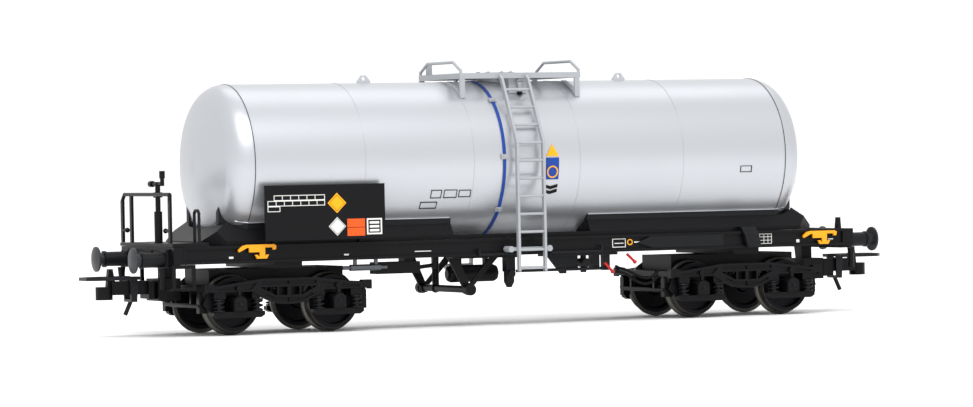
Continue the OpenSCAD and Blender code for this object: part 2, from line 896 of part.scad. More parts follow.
module corner_steps() {
    step_x0 = -frame_half_l - 0.05;
    step_l = 4.7;
    step_y = frame_half_w - 0.1;
    step_z = frame_z - 4.9;
    tread_d = 3;
    rail_w = 0.7;
    rail_t = 0.5;
    color("#222327")
        both_sides() {
            for (x = [step_x0, step_x0 + step_l - rail_w])
                block([x, step_y - rail_t, step_z], [x + rail_w, step_y, frame_z - seat_gap]);
            block([step_x0, step_y - tread_d, step_z], [step_x0 + step_l, step_y, step_z + 0.5]);
            block(
                [step_x0, step_y - rail_t, frame_z - seat_gap - 0.7],
                [step_x0 + step_l, step_y, frame_z - seat_gap]
            );
        }
}

// Upright grab hoops beside the platform, grab rails on the sole bars and right-hand end posts
module grab_hoops() {
    hoop_x = 5.65 - frame_half_l;
    hoop_out_y = frame_half_w - 0.4;
    hoop_w = 2.4;
    hoop_r = 0.3;
    hoop_bend = 0.5;
    hoop_z = frame_top + 6.8;
    floor_z = platform_top + seat_gap;
    rail_r = 0.25;
    rail_y = frame_half_w + 0.6;
    rail_z = frame_z + 0.3;
    end_rise = 0.9;
    post_x = frame_half_l - 1.25;
    post_t = 0.7;
    post_h = 2.2;
    color("#2b2c30") {
        mirror([0, 1, 0])
            bent_rod([
                [hoop_x, hoop_out_y, floor_z],
                [hoop_x, hoop_out_y, hoop_z - hoop_bend],
                [hoop_x, hoop_out_y - hoop_bend, hoop_z],
                [hoop_x, hoop_out_y - hoop_w + hoop_bend, hoop_z],
                [hoop_x, hoop_out_y - hoop_w, hoop_z - hoop_bend],
                [hoop_x, hoop_out_y - hoop_w, floor_z]
            ], hoop_r);
        both_sides() {
            for (ends = [[5.2, 16.3], [-1.5, -10.5]])
                bent_rod([
                    [ends[0], frame_half_w + seat_gap, rail_z],
                    [ends[0], rail_y, rail_z],
                    [ends[1], rail_y, rail_z],
                    [ends[1], rail_y, rail_z + end_rise],
                    [ends[1], frame_half_w + seat_gap, rail_z + end_rise]
                ], rail_r);
            plate_x(post_x, post_x + post_t)
                polygon([
                    [8.2, frame_top - seat_gap], [9.8, frame_top - seat_gap],
                    [9.5, frame_top + post_h], [8.6, frame_top + post_h]
                ]);
        }
    }
}

// Sloped bracket and shallow plates on the outside of the sole bars
module gusset_brackets() {
    foot_x = pivot_x - 0.9;
    foot_z = frame_z + 0.1;
    foot_l = 3.1;
    top_shift = 1.1;
    top_z = frame_top + 0.9;
    out_y = frame_half_w + 0.9;
    plate_x0 = pivot_x - 25.7;
    plate_x1 = pivot_x - 6.2;
    color("#2b2c30")
        both_sides() {
            difference() {
                plate_y(saddle_foot_y + seat_gap, out_y)
                    polygon([
                        [foot_x, foot_z], [foot_x + foot_l, foot_z],
                        [foot_x + foot_l - top_shift + 0.2, top_z], [foot_x - top_shift, top_z]
                    ]);
                block(
                    [foot_x - 5, 0, foot_z - 1],
                    [foot_x + 5, frame_half_w + seat_gap, frame_top + seat_gap]
                );
                translate([foot_x, frame_half_w, top_z])
                    rotate([-60, 0, 0]) block([-6, -6, 0], [6, 6, 6]);
            }
            plate_y(frame_half_w + seat_gap, frame_half_w + 0.25)
                polygon([
                    [plate_x0, frame_z + 1.7], [plate_x0 + 3, frame_z + 2.9], [plate_x1, frame_z + 2.9],
                    [plate_x1, frame_z + 0.6], [plate_x0 + 3.5, frame_z + 0.6]
                ]);
        }
}

// ---------------------------------------------------------------- brake and discharge gear

module discharge_pipe() {
    ring_r = 0.95;
    drop_y = 4.5;
    color("#26272b") {
        drum_y(pipe_x, -pipe_half_l, pipe_half_l, pipe_z, pipe_r);
        both_sides() {
            drum_y(pipe_x, pipe_half_l - cap_t, pipe_half_l, pipe_z, cap_r);
            drum_y(pipe_x, bracket_y - 0.6, bracket_y - 0.15, pipe_z, ring_r);
        }
        translate([pipe_x, drop_y, pipe_z]) cylinder(h = frame_z - seat_gap - pipe_z, r = pipe_r);
        translate([pipe_x, drop_y, pipe_z]) sphere(r = ring_r);
    }
}

// Two slanted legs that carry one end of the discharge pipe
module pipe_brackets() {
    // x of a leg's top from the pipe, its half width there and at the pipe
    left_leg = [-3.2, 1.15, 0.8];
    right_leg = [6.2, 0.9, 0.6];
    eye_r = 1;
    flange_h = 0.4;
    top_z = frame_z - seat_gap;
    color("#222327")
        both_sides() {
            difference() {
                plate_y(bracket_y, bracket_y + bracket_t)
                    union() {
                        for (leg = [left_leg, right_leg])
                            polygon([
                                [pipe_x + leg[0] - leg[1], top_z], [pipe_x + leg[0] + leg[1], top_z],
                                [pipe_x + leg[2], pipe_z], [pipe_x - leg[2], pipe_z]
                            ]);
                        translate([pipe_x, pipe_z]) circle(r = eye_r);
                    }
                drum_y(pipe_x, bracket_y - 1, bracket_y + 1, pipe_z, pipe_r + seat_gap);
            }
            block(
                [pipe_x + left_leg[0] - left_leg[1], bracket_y, top_z - flange_h],
                [pipe_x + right_leg[0] + right_leg[1], sole_bar_in_y + 1, top_z]
            );
        }
}

module air_reservoir() {
    vessel_r = 1.7;
    vessel_x = -13.2;
    vessel_l = 11;
    vessel_y = -4.8;
    vessel_z = frame_z - 3.6;
    strap_w = 0.6;
    strap_x = [vessel_x + 2.4, vessel_x + vessel_l - 2.8];
    hanger_z = frame_z + 0.1;
    hanger_t = 0.25;
    hanger_half_w = 0.7;
    color("#26272b") {
        translate([vessel_x, vessel_y, vessel_z]) rotate([0, 90, 0]) rotate_extrude()
            polygon([
                [0, 0], [vessel_r - 0.8, 0], [vessel_r - 0.25, 0.3], [vessel_r, 0.9],
                [vessel_r, vessel_l - 0.9], [vessel_r - 0.25, vessel_l - 0.3],
                [vessel_r - 0.8, vessel_l], [0, vessel_l]
            ]);
        for (x = strap_x)
            block(
                [x, vessel_y - hanger_half_w, vessel_z + vessel_r - 0.25],
                [x + strap_w, vessel_y + hanger_half_w, hanger_z + hanger_t]
            );
        block(
            [strap_x[0], vessel_y - hanger_half_w, hanger_z],
            [strap_x[1] + strap_w, -centre_sill_half_w - seat_gap, hanger_z + hanger_t]
        );
    }
}

module brake_distributor() {
    body_x = -2.6;
    body_y = -11.2;
    body_half = 1;
    body_z = frame_z - 3.3;
    cup_r = 1.05;
    cup_h = 2;
    foot_r = 0.5;
    foot_h = 1.1;
    flange_half_l = 1.5;
    color("#2b2c30") {
        block(
            [body_x - body_half, body_y - 0.9, body_z],
            [body_x + body_half, body_y + 0.9, frame_z - seat_gap]
        );
        translate([body_x, body_y, body_z - cup_h]) cylinder(h = cup_h, r = cup_r);
        translate([body_x, body_y, body_z - cup_h - foot_h]) cylinder(h = foot_h, r1 = foot_r, r2 = cup_r);
        drum_y(body_x, body_y - 1.5, body_y + 0.5, body_z - 0.4, 0.75);
        block(
            [body_x - flange_half_l, body_y - 1.2, frame_z - 0.5],
            [body_x + flange_half_l, -sole_bar_in_y + 0.9, frame_z - seat_gap]
        );
    }
}

// Valves and levers right of the ladder, hung from a plate under the sole bar
module brake_valves() {
    plate_x0 = 5;
    plate_x1 = 20.5;
    front_y = -12.4;
    plate_t = 0.55;
    hang_z = frame_z - 0.3;
    rod_x0 = -1.6;
    rod_y = front_y - 0.1;
    rod_z = frame_z - 3.2;
    rod_r = 0.3;
    cock_x = 13.8;
    cock_z = frame_z - 2;
    color("#2b2c30") {
        block([plate_x0, front_y - 0.9, frame_z - plate_t], [plate_x1, front_y + 3.6, frame_z - seat_gap]);
        plate_y(front_y, front_y + 0.5)
            polygon([
                [plate_x0 + 0.2, hang_z], [plate_x0 + 4.5, hang_z],
                [plate_x0 + 4.5, rod_z - 0.8], [plate_x0 + 3.2, rod_z - 0.8]
            ]);
        block([plate_x0 + 4, front_y + 0.3, rod_z - 0.2], [plate_x0 + 7.2, front_y + 2.8, hang_z]);
        drum_y(cock_x, front_y - 0.4, front_y + 2.6, cock_z, 0.9);
        translate([cock_x, front_y + 1.1, cock_z - 1.9]) cylinder(h = 3.5, r = 0.6);
        block([cock_x + 1.6, front_y + 0.2, cock_z - 1.2], [cock_x + 3.2, front_y + 2, hang_z]);
        drum_x(rod_x0, plate_x1 - 2.4, rod_y, rod_z, rod_r);
        block([plate_x1 - 2.6, front_y - 0.2, rod_z - 0.4], [plate_x1 - 1.4, front_y + 1.6, hang_z]);
    }
}

module brake_rigging() {
    lever_box_lo = [-31, -11.2, frame_z - 3];
    lever_box_hi = [-21.8, -7.6, frame_z - 0.7];
    rod_y = -9.4;
    link_x0 = -18.4;
    link_t = 0.8;
    link_top = frame_z + 0.8;
    color("#222327") {
        block(lever_box_lo, lever_box_hi);
        block(
            [lever_box_lo.x + 6, lever_box_lo.y + 0.4, lever_box_hi.z - 0.1],
            [lever_box_lo.x + 8, lever_box_hi.y - 0.4, frame_z - seat_gap]
        );
        rod(
            [lever_box_hi.x - 0.1, rod_y, frame_z - 2],
            [link_x0 + link_t / 2, rod_y, frame_z - 1.6], 0.4
        );
        block([link_x0, rod_y - link_t / 2, frame_z - 2.4], [link_x0 + link_t, rod_y + link_t / 2, link_top]);
        block(
            [link_x0, rod_y - link_t / 2, frame_z + 0.3],
            [link_x0 + link_t, -centre_sill_half_w - seat_gap, link_top]
        );
    }
}

module slack_adjuster() {
    tube_x0 = -37.4;
    tube_l = 6.4;
    tube_y = -12.6;
    tube_z = frame_z - 1.55;
    tube_r = 0.62;
    rod_r = 0.38;
    hanger_w = 0.6;
    color("#a9abae") {
        drum_x(tube_x0, tube_x0 + tube_l, tube_y, tube_z, tube_r);
        drum_x(tube_x0 - 1.6, tube_x0 + tube_l + 1.4, tube_y, tube_z, rod_r);
        for (x = [tube_x0 + 0.8, tube_x0 + tube_l - 1.2])
            block([x, tube_y - 0.3, tube_z + 0.3], [x + hanger_w, tube_y + 0.3, frame_z - seat_gap]);
    }
}

module red_levers() {
    lever_y = -13.3;
    lever_r = 0.28;
    knob_r = 0.42;
    // x and z of the upper end, then of the knob
    levers = [
        [[17.7, frame_z - 2.1], [19.3, frame_z - 3.9]],
        [[22.7, frame_z - 0.5], [24.3, frame_z - 2.1]]
    ];
    color("crimson")
        for (ends = levers) {
            rod([ends[0].x, lever_y + 0.3, ends[0].y], [ends[1].x, lever_y, ends[1].y], lever_r);
            translate([ends[1].x, lever_y, ends[1].y]) sphere(r = knob_r);
        }
}

module air_hoses() {
    hose_x = frame_half_l + 0.95;
    hose_y = 11;
    hose_top = buffer_z - 1.65;
    hose_l = 2.7;
    hose_r0 = 0.5;
    hose_r1 = 0.78;
    nozzle_l = 1.3;
    nozzle_r = 0.6;
    color("#18191b")
        both_ends() both_sides() {
            translate([hose_x, hose_y, hose_top - hose_l]) cylinder(h = hose_l, r1 = hose_r0, r2 = hose_r1);
            translate([hose_x, hose_y, hose_top - hose_l - nozzle_l]) cylinder(h = nozzle_l, r = nozzle_r);
        }
}

// ---------------------------------------------------------------- couplings

// Fixed pins below the headstocks on which the couplings swing
module coupling_pivots() {
    eye_top = coupling_z + eye_half_h;
    block_half = 1.2;
    base_r = 1.1;
    base_t = 0.4;
    box_half_w = 3.2;
    box_t = 0.45;
    box_x0 = coupling_pivot_x - 1.8;
    box_x1 = frame_half_l - 1.15;
    back_t = 0.35;
    box_floor = eye_bottom - running_gap;
    color("#222327")
        both_ends() {
            block(
                [coupling_pivot_x - block_half, -block_half, eye_top + running_gap],
                [coupling_pivot_x + block_half, block_half, frame_z - seat_gap]
            );
            translate([coupling_pivot_x, 0, box_floor - base_t])
                cylinder(h = eye_top + running_gap - box_floor + base_t + 0.1, r = coupling_pin_r);
            translate([coupling_pivot_x, 0, box_floor - base_t - 0.2]) cylinder(h = base_t, r = base_r);
            difference() {
                block(
                    [box_x0, -box_half_w, box_floor - base_t],
                    [box_x1, box_half_w, eye_top + running_gap + box_t]
                );
                block(
                    [box_x0 + back_t, box_t - box_half_w, box_floor],
                    [box_x1 + 1, box_half_w - box_t, eye_top + running_gap]
                );
            }
        }
}

// Pocket, shank, head and hook of the right-hand coupling
module coupling_shape() {
    eye_r = 1.3;
    pocket_half_w = 2.4;
    drum_r = 1.65;
    drum_x = coupling_pivot_x + 12.7;
    drum_h = 2.5;
    hook_top = coupling_z + 3.7;
    hook_half_t = 0.6;
    ear_half_l = 0.9;
    color("#1d1e21")
        difference() {
            union() {
                translate([coupling_pivot_x, 0, eye_bottom])
                    cylinder(h = coupling_z + eye_half_h - eye_bottom, r = eye_r);
                block(
                    [coupling_pivot_x, -eye_r, eye_bottom],
                    [pocket_end_x - 1, eye_r, coupling_z + eye_half_h]
                );
                block(
                    [frame_half_l - 0.6, -pocket_half_w, eye_bottom],
                    [pocket_end_x, pocket_half_w, coupling_z + eye_half_h]
                );
                block(
                    [pocket_end_x - 0.5, -shank_half_w, coupling_z - shank_half_h],
                    [drum_x - drum_r + 0.5, shank_half_w, coupling_z + shank_half_h]
                );
                translate([drum_x, 0, eye_bottom]) cylinder(h = drum_h, r = drum_r);
                plate_y(-hook_half_t, hook_half_t)
                    polygon([
                        [hook_x - 0.8, eye_bottom + 1], [hook_x + 0.8, eye_bottom + 1],
                        [hook_x + 0.8, coupling_z + 0.2], [hook_x + 0.4, hook_top],
                        [hook_x - 0.4, hook_top], [hook_x - 0.8, coupling_z + shank_half_h]
                    ]);
                block(
                    [loop_pivot_x - ear_half_l, -1, coupling_z + 1.2],
                    [loop_pivot_x + ear_half_l, 1, loop_z - loop_wire_r - 0.05]
                );
            }
            translate([coupling_pivot_x, 0, 0]) cylinder(h = frame_z, r = coupling_pin_r + running_gap);
            drum_y(loop_pivot_x, -4, 4, coupling_z + 0.3, loop_pin_r + running_gap);
        }
}

// Lifting loop with its cross pin and trip pin, on the right-hand coupling
module coupling_loop_shape() {
    arm_y0 = shank_half_w + 0.12;
    arm_y1 = arm_y0 + 0.55;
    pin_z = coupling_z + 0.3;
    yoke_z = coupling_z - shank_half_h - 0.9;
    color("#55575b") {
        drum_y(loop_pivot_x, -arm_y1, arm_y1, pin_z, loop_pin_r);
        both_sides() {
            plate_y(arm_y0, arm_y1)
                polygon([
                    [loop_pivot_x - 0.6, yoke_z], [loop_pivot_x + 0.6, yoke_z],
                    [loop_pivot_x + 0.8, pin_z], [loop_pivot_x + 0.8, loop_z + loop_wire_r],
                    [loop_pivot_x - 0.6, loop_z + loop_wire_r], [loop_pivot_x - 0.8, pin_z]
                ]);
            block(
                [loop_pivot_x - 0.6, arm_y0, loop_z - loop_wire_r],
                [loop_pivot_x + 0.6, loop_half_w, loop_z + loop_wire_r]
            );
            block(
                [loop_pivot_x - 0.6, loop_half_w - 2 * loop_wire_r, loop_z - loop_wire_r],
                [loop_tip_x - 2, loop_half_w, loop_z + loop_wire_r]
            );
        }
        translate([0, 0, loop_z - loop_wire_r]) linear_extrude(2 * loop_wire_r)
            polygon([
                [loop_tip_x - 2.1, loop_half_w], [loop_tip_x - 1.4, loop_half_w - 0.2],
                [loop_tip_x, loop_half_w - 1.7], [loop_tip_x, 1.7 - loop_half_w],
                [loop_tip_x - 1.4, 0.2 - loop_half_w], [loop_tip_x - 2.1, -loop_half_w],
                [loop_tip_x - 2.1, 2 * loop_wire_r - loop_half_w],
                [loop_tip_x - 1.7, 2 * loop_wire_r + 0.1 - loop_half_w],
                [loop_tip_x - 2 * loop_wire_r, 2 - loop_half_w],
                [loop_tip_x - 2 * loop_wire_r, loop_half_w - 2],
                [loop_tip_x - 1.7, loop_half_w - 2 * loop_wire_r - 0.1],
                [loop_tip_x - 2.1, loop_half_w - 2 * loop_wire_r]
            ]);
        block([loop_pivot_x - 0.6, -arm_y1, yoke_z - 0.5], [loop_pivot_x + 0.6, arm_y1, yoke_z]);
        rod([loop_pivot_x - 0.1, 0, yoke_z - 0.2], [loop_pivot_x + 1.2, 0, yoke_z - 3], 0.42);
    }
}

module right_coupling() {
    coupling_shape();
}

module left_coupling() {
    mirror([1, 0, 0]) coupling_shape();
}

module right_coupling_loop() {
    coupling_loop_shape();
}

module left_coupling_loop() {
    mirror([1, 0, 0]) coupling_loop_shape();
}

// ---------------------------------------------------------------- bogies

// Half of the outline of a side frame, from the pivot to the end bracket
module side_frame_outline() {
    e = side_frame_half_l;
    top = side_frame_top;
    low = side_frame_belly;
    lug_z = side_frame_end_z - 0.2;
    polygon([
        [-0.01, top], [5.6, top], [8, top - 0.3], [11, top - 0.7], [e - 3.4, top - 1.1],
        [e - 2.2, top - 1.2], [e - 1.9, top - 0.8], [e, top - 0.8], [e, lug_z],
        [e - 0.6, lug_z], [e - 0.6, side_frame_end_z],
        [7.6, side_frame_end_z], [5.5, low + 1.4], [3, low + 0.3], [1, low], [-0.01, low]
    ]);
}

module side_frame_window() {
    top = side_frame_top - 1.65;
    low = side_frame_top - 3.25;
    polygon([[0.35, top], [5.9, top], [2.7, low], [0.35, low]]);
}

module side_frame_half() {
    lip = 0.35;
    face = side_frame_y;
    difference() {
        plate_y(side_frame_in_y, face) side_frame_outline();
        plate_y(side_frame_in_y - 1, face + 1) difference() {
            side_frame_window();
            translate([2.15, side_frame_belly]) square([0.35, 4]);
        }
        // recessed web between the lips of the casting
        plate_y(face - lip, face + 1)
            polygon([
                [6.6, side_frame_top - 0.75], [8.2, side_frame_top - 0.95],
                [side_frame_half_l - 2.6, side_frame_top - 1.75],
                [side_frame_half_l - 2.6, side_frame_end_z + 0.35], [7.9, side_frame_end_z + 0.35]
            ]);
        plate_y(face - lip, face + 1)
            polygon([
                [0, side_frame_top - 0.5], [5.7, side_frame_top - 0.5],
                [5.7, side_frame_top - 1.2], [0, side_frame_top - 1.2]
            ]);
        plate_y(face - lip, face + 1)
            polygon([
                [0, side_frame_belly + 1.3], [2.8, side_frame_belly + 1.3], [4.6, side_frame_belly + 2.1],
                [5.2, side_frame_belly + 1.8], [3.1, side_frame_belly + 0.8], [0, side_frame_belly + 0.45]
            ]);
    }
    // spring hats under the casting, with a guard plate behind the outer spring
    for (s = [-1, 1]) {
        hat_x = axle_x + s * spring_reach;
        block(
            [max(hat_x - spring_r, 5.9), hat_in_y, hat_z],
            [hat_x + spring_r - 0.1, side_frame_y - 0.3, side_frame_end_z + 0.3]
        );
    }
    plate_y(hat_in_y, hat_in_y + 0.5)
        polygon([
            [axle_x + 2.6, side_frame_end_z], [axle_x + 5.8, side_frame_end_z], [axle_x + 6.7, axle_z],
            [axle_x + 5.3, axle_z - 1.2], [axle_x + 2.6, axle_z - 1.2]
        ]);
    // link from the side frame down to the axle box
    block(
        [axle_x - 0.35, face - lip, axle_box_top + 0.25],
        [axle_x + 0.35, face + 0.2, side_frame_end_z + 0.9]
    );
    drum_y(axle_x, face - lip, face + 0.3, side_frame_end_z + 0.7, 0.6);
}

module side_frames(x) {
    color("#1f2024")
        translate([x, 0, 0])
            both_sides() both_ends() side_frame_half();
}

// Block over the wheel gap with its bolster out to the side frames and the pivot's bore
module centre_block(x) {
    end_beam_t = 1.2;
    color("#18191c")
        translate([x, 0, 0])
            difference() {
                union() {
                    block(
                        [-centre_block_half_l, -centre_block_half_w, axle_z + axle_r + 1.6],
                        [centre_block_half_l, centre_block_half_w, centre_block_top]
                    );
                    block(
                        [-bolster_half_w, -side_frame_in_y + seat_gap, bolster_z],
                        [bolster_half_w, side_frame_in_y - seat_gap, side_frame_top - 0.6]
                    );
                    both_ends() {
                        block(
                            [
                                side_frame_half_l - end_beam_t,
                                -side_frame_in_y + seat_gap,
                                side_frame_end_z + 0.1
                            ],
                            [side_frame_half_l, side_frame_in_y - seat_gap, side_frame_end_z + 1.2]
                        );
                        block(
                            [centre_block_half_l - 0.5, -2, side_frame_end_z + 0.1],
                            [side_frame_half_l - end_beam_t + 0.1, 2, side_frame_end_z + 1.2]
                        );
                    }
                }
                translate([0, 0, bolster_z + 0.7])
                    cylinder(h = centre_block_top, r = pivot_r + running_gap);
            }
}

module axle_boxes(x) {
    box_in_y = side_frame_in_y - 0.25;
    shaft_bore_end = journal_end_y + 0.1;
    cover_half_w = 1.3;
    cover_round_z = axle_box_top - cover_half_w + 0.15;
    wing_half_l = spring_reach + spring_r + 0.2;
    color("#26272b")
        translate([x, 0, 0])
            both_sides() both_ends()
                difference() {
                    union() {
                        block(
                            [axle_x - axle_box_half_w, box_in_y, axle_box_bottom],
                            [axle_x + axle_box_half_w, axle_box_out_y - 0.3, axle_box_top - 0.35]
                        );
                        plate_y(box_in_y, side_frame_y)
                            polygon([
                                [axle_x - wing_half_l, wing_z], [axle_x - wing_half_l + 0.8, wing_z - 0.5],
                                [axle_x + wing_half_l - 0.8, wing_z - 0.5], [axle_x + wing_half_l, wing_z],
                                [axle_x + wing_half_l, wing_z + wing_t],
                                [axle_x - wing_half_l, wing_z + wing_t]
                            ]);
                        block(
                            [axle_x - axle_box_half_w + 0.2, box_in_y, wing_z],
                            [axle_x + axle_box_half_w - 0.2, side_frame_y, axle_box_bottom + 0.1]
                        );
                        plate_y(side_frame_y - 0.1, axle_box_out_y) {
                            translate([axle_x, cover_round_z]) circle(r = cover_half_w);
                            translate([axle_x - cover_half_w, axle_box_bottom])
                                square([2 * cover_half_w, cover_round_z - axle_box_bottom]);
                        }
                    }
                    drum_y(axle_x, box_in_y - 1, shaft_bore_end, axle_z, journal_r + running_gap);
                }
}

// Coil springs between the axle box wings and the side frame
module springs(x) {
    coil_pitch = 0.62;
    spring_z0 = wing_z + wing_t + seat_gap;
    spring_z1 = hat_z - seat_gap;
    coils = floor((spring_z1 - spring_z0) / coil_pitch);
    color("#1b1c1f")
        translate([x, 0, 0])
            both_sides() both_ends()
                for (s = [-1, 1])
                    translate([axle_x + s * spring_reach, spring_y, 0]) {
                        translate([0, 0, spring_z0]) cylinder(h = spring_z1 - spring_z0, r = spring_r - 0.35);
                        for (i = [0 : coils - 1])
                            translate([0, 0, spring_z0 + 0.1 + i * coil_pitch])
                                cylinder(h = coil_pitch * 0.6, r = spring_r - 0.05);
                    }
}

// Brake beams across both ends of a bogie, with the brake blocks at the treads
module brake_beams(x) {
    beam_x = axle_x + tread_r + 1.5;
    beam_z = axle_z - 0.15;
    beam_r = 0.45;
    beam_half_l = 9.4;
    block_gap = 0.35;
    shoe_y = [8.2, 9.7];
    hanger_half_l = 0.3;
    hanger_top = side_frame_end_z + 0.1 - seat_gap;
    color("#1b1c1f")
        translate([x, 0, 0])
            both_ends() {
                drum_y(beam_x, -beam_half_l, beam_half_l, beam_z, beam_r);
                both_sides() {
                    difference() {
                        block(
                            [axle_x + tread_r * 0.82, shoe_y[0], axle_z - 1.55],
                            [beam_x + 0.3, shoe_y[1], axle_z + 2.15]
                        );
                        drum_y(axle_x, 8, 10, axle_z, tread_r + block_gap);
                        block([axle_x, 8, axle_z + 1.25], [axle_x + tread_r + 1, 10, axle_z + 3]);
                    }
                    for (y = [4.6, 8.6])
                        block(
                            [beam_x - hanger_half_l, y, beam_z],
                            [beam_x + hanger_half_l, y + 0.75, hanger_top]
                        );
                }
            }
}

module left_bogie_side_frames() { side_frames(-pivot_x); }
module left_bogie_centre_block() { centre_block(-pivot_x); }
module left_bogie_axle_boxes() { axle_boxes(-pivot_x); }
module left_bogie_springs() { springs(-pivot_x); }
module left_bogie_brake_beams() { brake_beams(-pivot_x); }
module right_bogie_side_frames() { side_frames(pivot_x); }
module right_bogie_centre_block() { centre_block(pivot_x); }
module right_bogie_axle_boxes() { axle_boxes(pivot_x); }
module right_bogie_springs() { springs(pivot_x); }
module right_bogie_brake_beams() { brake_beams(pivot_x); }

// ---------------------------------------------------------------- wheelsets

// One wheel in section: radius across, distance from the inner face upwards
module wheel_section() {
    bore_r = axle_r + seat_gap;
    polygon([
        [bore_r, 0.3], [hub_r, 0.3], [hub_r + 0.3, web_inset],
        [rim_r - 0.3, web_inset], [rim_r, 0], [tread_r - 0.1, 0],
        [tread_r + flange_h - 0.12, 0.08], [tread_r + flange_h, flange_w * 0.45],
        [tread_r + flange_h - 0.15, flange_w * 0.75], [tread_r + 0.08, flange_w],
        [tread_r, flange_w + 0.12], [tread_r - 0.06, wheel_w - 0.1], [tread_r - 0.16, wheel_w],
        [rim_r, wheel_w], [rim_r - 0.15, wheel_w - web_inset - 0.35],
        [hub_r + 0.3, wheel_w - web_inset - 0.35], [hub_r, hub_y - wheel_inner_y],
        [bore_r, hub_y - wheel_inner_y]
    ]);
}

module wheels(x) {
    color("#6d6d6c")
        both_sides()
            translate([x, wheel_inner_y, axle_z])
                rotate([-90, 0, 0]) rotate_extrude($fn = 96) wheel_section();
}

module axle(x) {
    color("#55565a") {
        drum_y(x, -hub_y, hub_y, axle_z, axle_r);
        drum_y(x, -journal_end_y, journal_end_y, axle_z, journal_r);
    }
}

module left_outer_wheels() { wheels(-pivot_x - axle_x); }
module left_outer_axle() { axle(-pivot_x - axle_x); }
module left_inner_wheels() { wheels(-pivot_x + axle_x); }
module left_inner_axle() { axle(-pivot_x + axle_x); }
module right_inner_wheels() { wheels(pivot_x - axle_x); }
module right_inner_axle() { axle(pivot_x - axle_x); }
module right_outer_wheels() { wheels(pivot_x + axle_x); }
module right_outer_axle() { axle(pivot_x + axle_x); }

tank();
manhole();
valve_boxes();
blue_band();
lifting_lugs();
walkway();
walkway_handrails();
walkway_legs();
ladders();
ladder_brackets();
saddles();
trough_pads();
sole_bars();
headstocks();
centre_sill();
cross_members();
buffer_housings();
buffer_heads();
end_platform();
platform_handrail();
handbrake();
rope_hooks();
sign_boards();
corner_steps();
grab_hoops();
gusset_brackets();
discharge_pipe();
pipe_brackets();
air_reservoir();
brake_distributor();
brake_valves();
brake_rigging();
slack_adjuster();
red_levers();
air_hoses();
coupling_pivots();
left_coupling();
left_coupling_loop();
right_coupling();
right_coupling_loop();
left_bogie_side_frames();
left_bogie_centre_block();
left_bogie_axle_boxes();
left_bogie_springs();
left_bogie_brake_beams();
right_bogie_side_frames();
right_bogie_centre_block();
right_bogie_axle_boxes();
right_bogie_springs();
right_bogie_brake_beams();
left_outer_wheels();
left_outer_axle();
left_inner_wheels();
left_inner_axle();
right_inner_wheels();
right_inner_axle();
right_outer_wheels();
right_outer_axle();
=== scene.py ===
import math

import bmesh
import bpy
from mathutils import Matrix, Vector


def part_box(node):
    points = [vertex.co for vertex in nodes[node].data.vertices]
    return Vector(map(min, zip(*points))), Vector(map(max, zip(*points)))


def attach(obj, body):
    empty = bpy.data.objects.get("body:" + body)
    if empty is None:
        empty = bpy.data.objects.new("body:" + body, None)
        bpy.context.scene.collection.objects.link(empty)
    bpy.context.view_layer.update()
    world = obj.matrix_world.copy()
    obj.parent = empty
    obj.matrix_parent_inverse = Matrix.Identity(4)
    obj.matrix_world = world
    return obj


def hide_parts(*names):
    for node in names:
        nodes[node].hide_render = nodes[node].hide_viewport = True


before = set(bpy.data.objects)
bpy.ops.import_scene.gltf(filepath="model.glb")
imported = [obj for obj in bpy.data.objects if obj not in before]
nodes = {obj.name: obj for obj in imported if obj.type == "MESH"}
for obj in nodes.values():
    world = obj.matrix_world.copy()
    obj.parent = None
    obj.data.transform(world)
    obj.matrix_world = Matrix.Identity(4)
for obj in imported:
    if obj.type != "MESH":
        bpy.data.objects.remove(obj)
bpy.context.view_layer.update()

mm = 0.001


def linear(hexColour):
    # sRGB hex to the linear values that Blender's sockets take
    channels = [int(hexColour[i:i + 2], 16) / 255 for i in (1, 3, 5)]
    return tuple(c / 12.92 if c <= 0.04045 else ((c + 0.055) / 1.055) ** 2.4 for c in channels) + (1,)


def addNode(tree, kind, inputs=None, **settings):
    node = tree.nodes.new(kind)
    for key, value in settings.items():
        setattr(node, key, value)
    for key, value in (inputs or {}).items():
        if isinstance(value, bpy.types.NodeSocket):
            tree.links.new(value, node.inputs[key])
        else:
            node.inputs[key].default_value = value
    return node


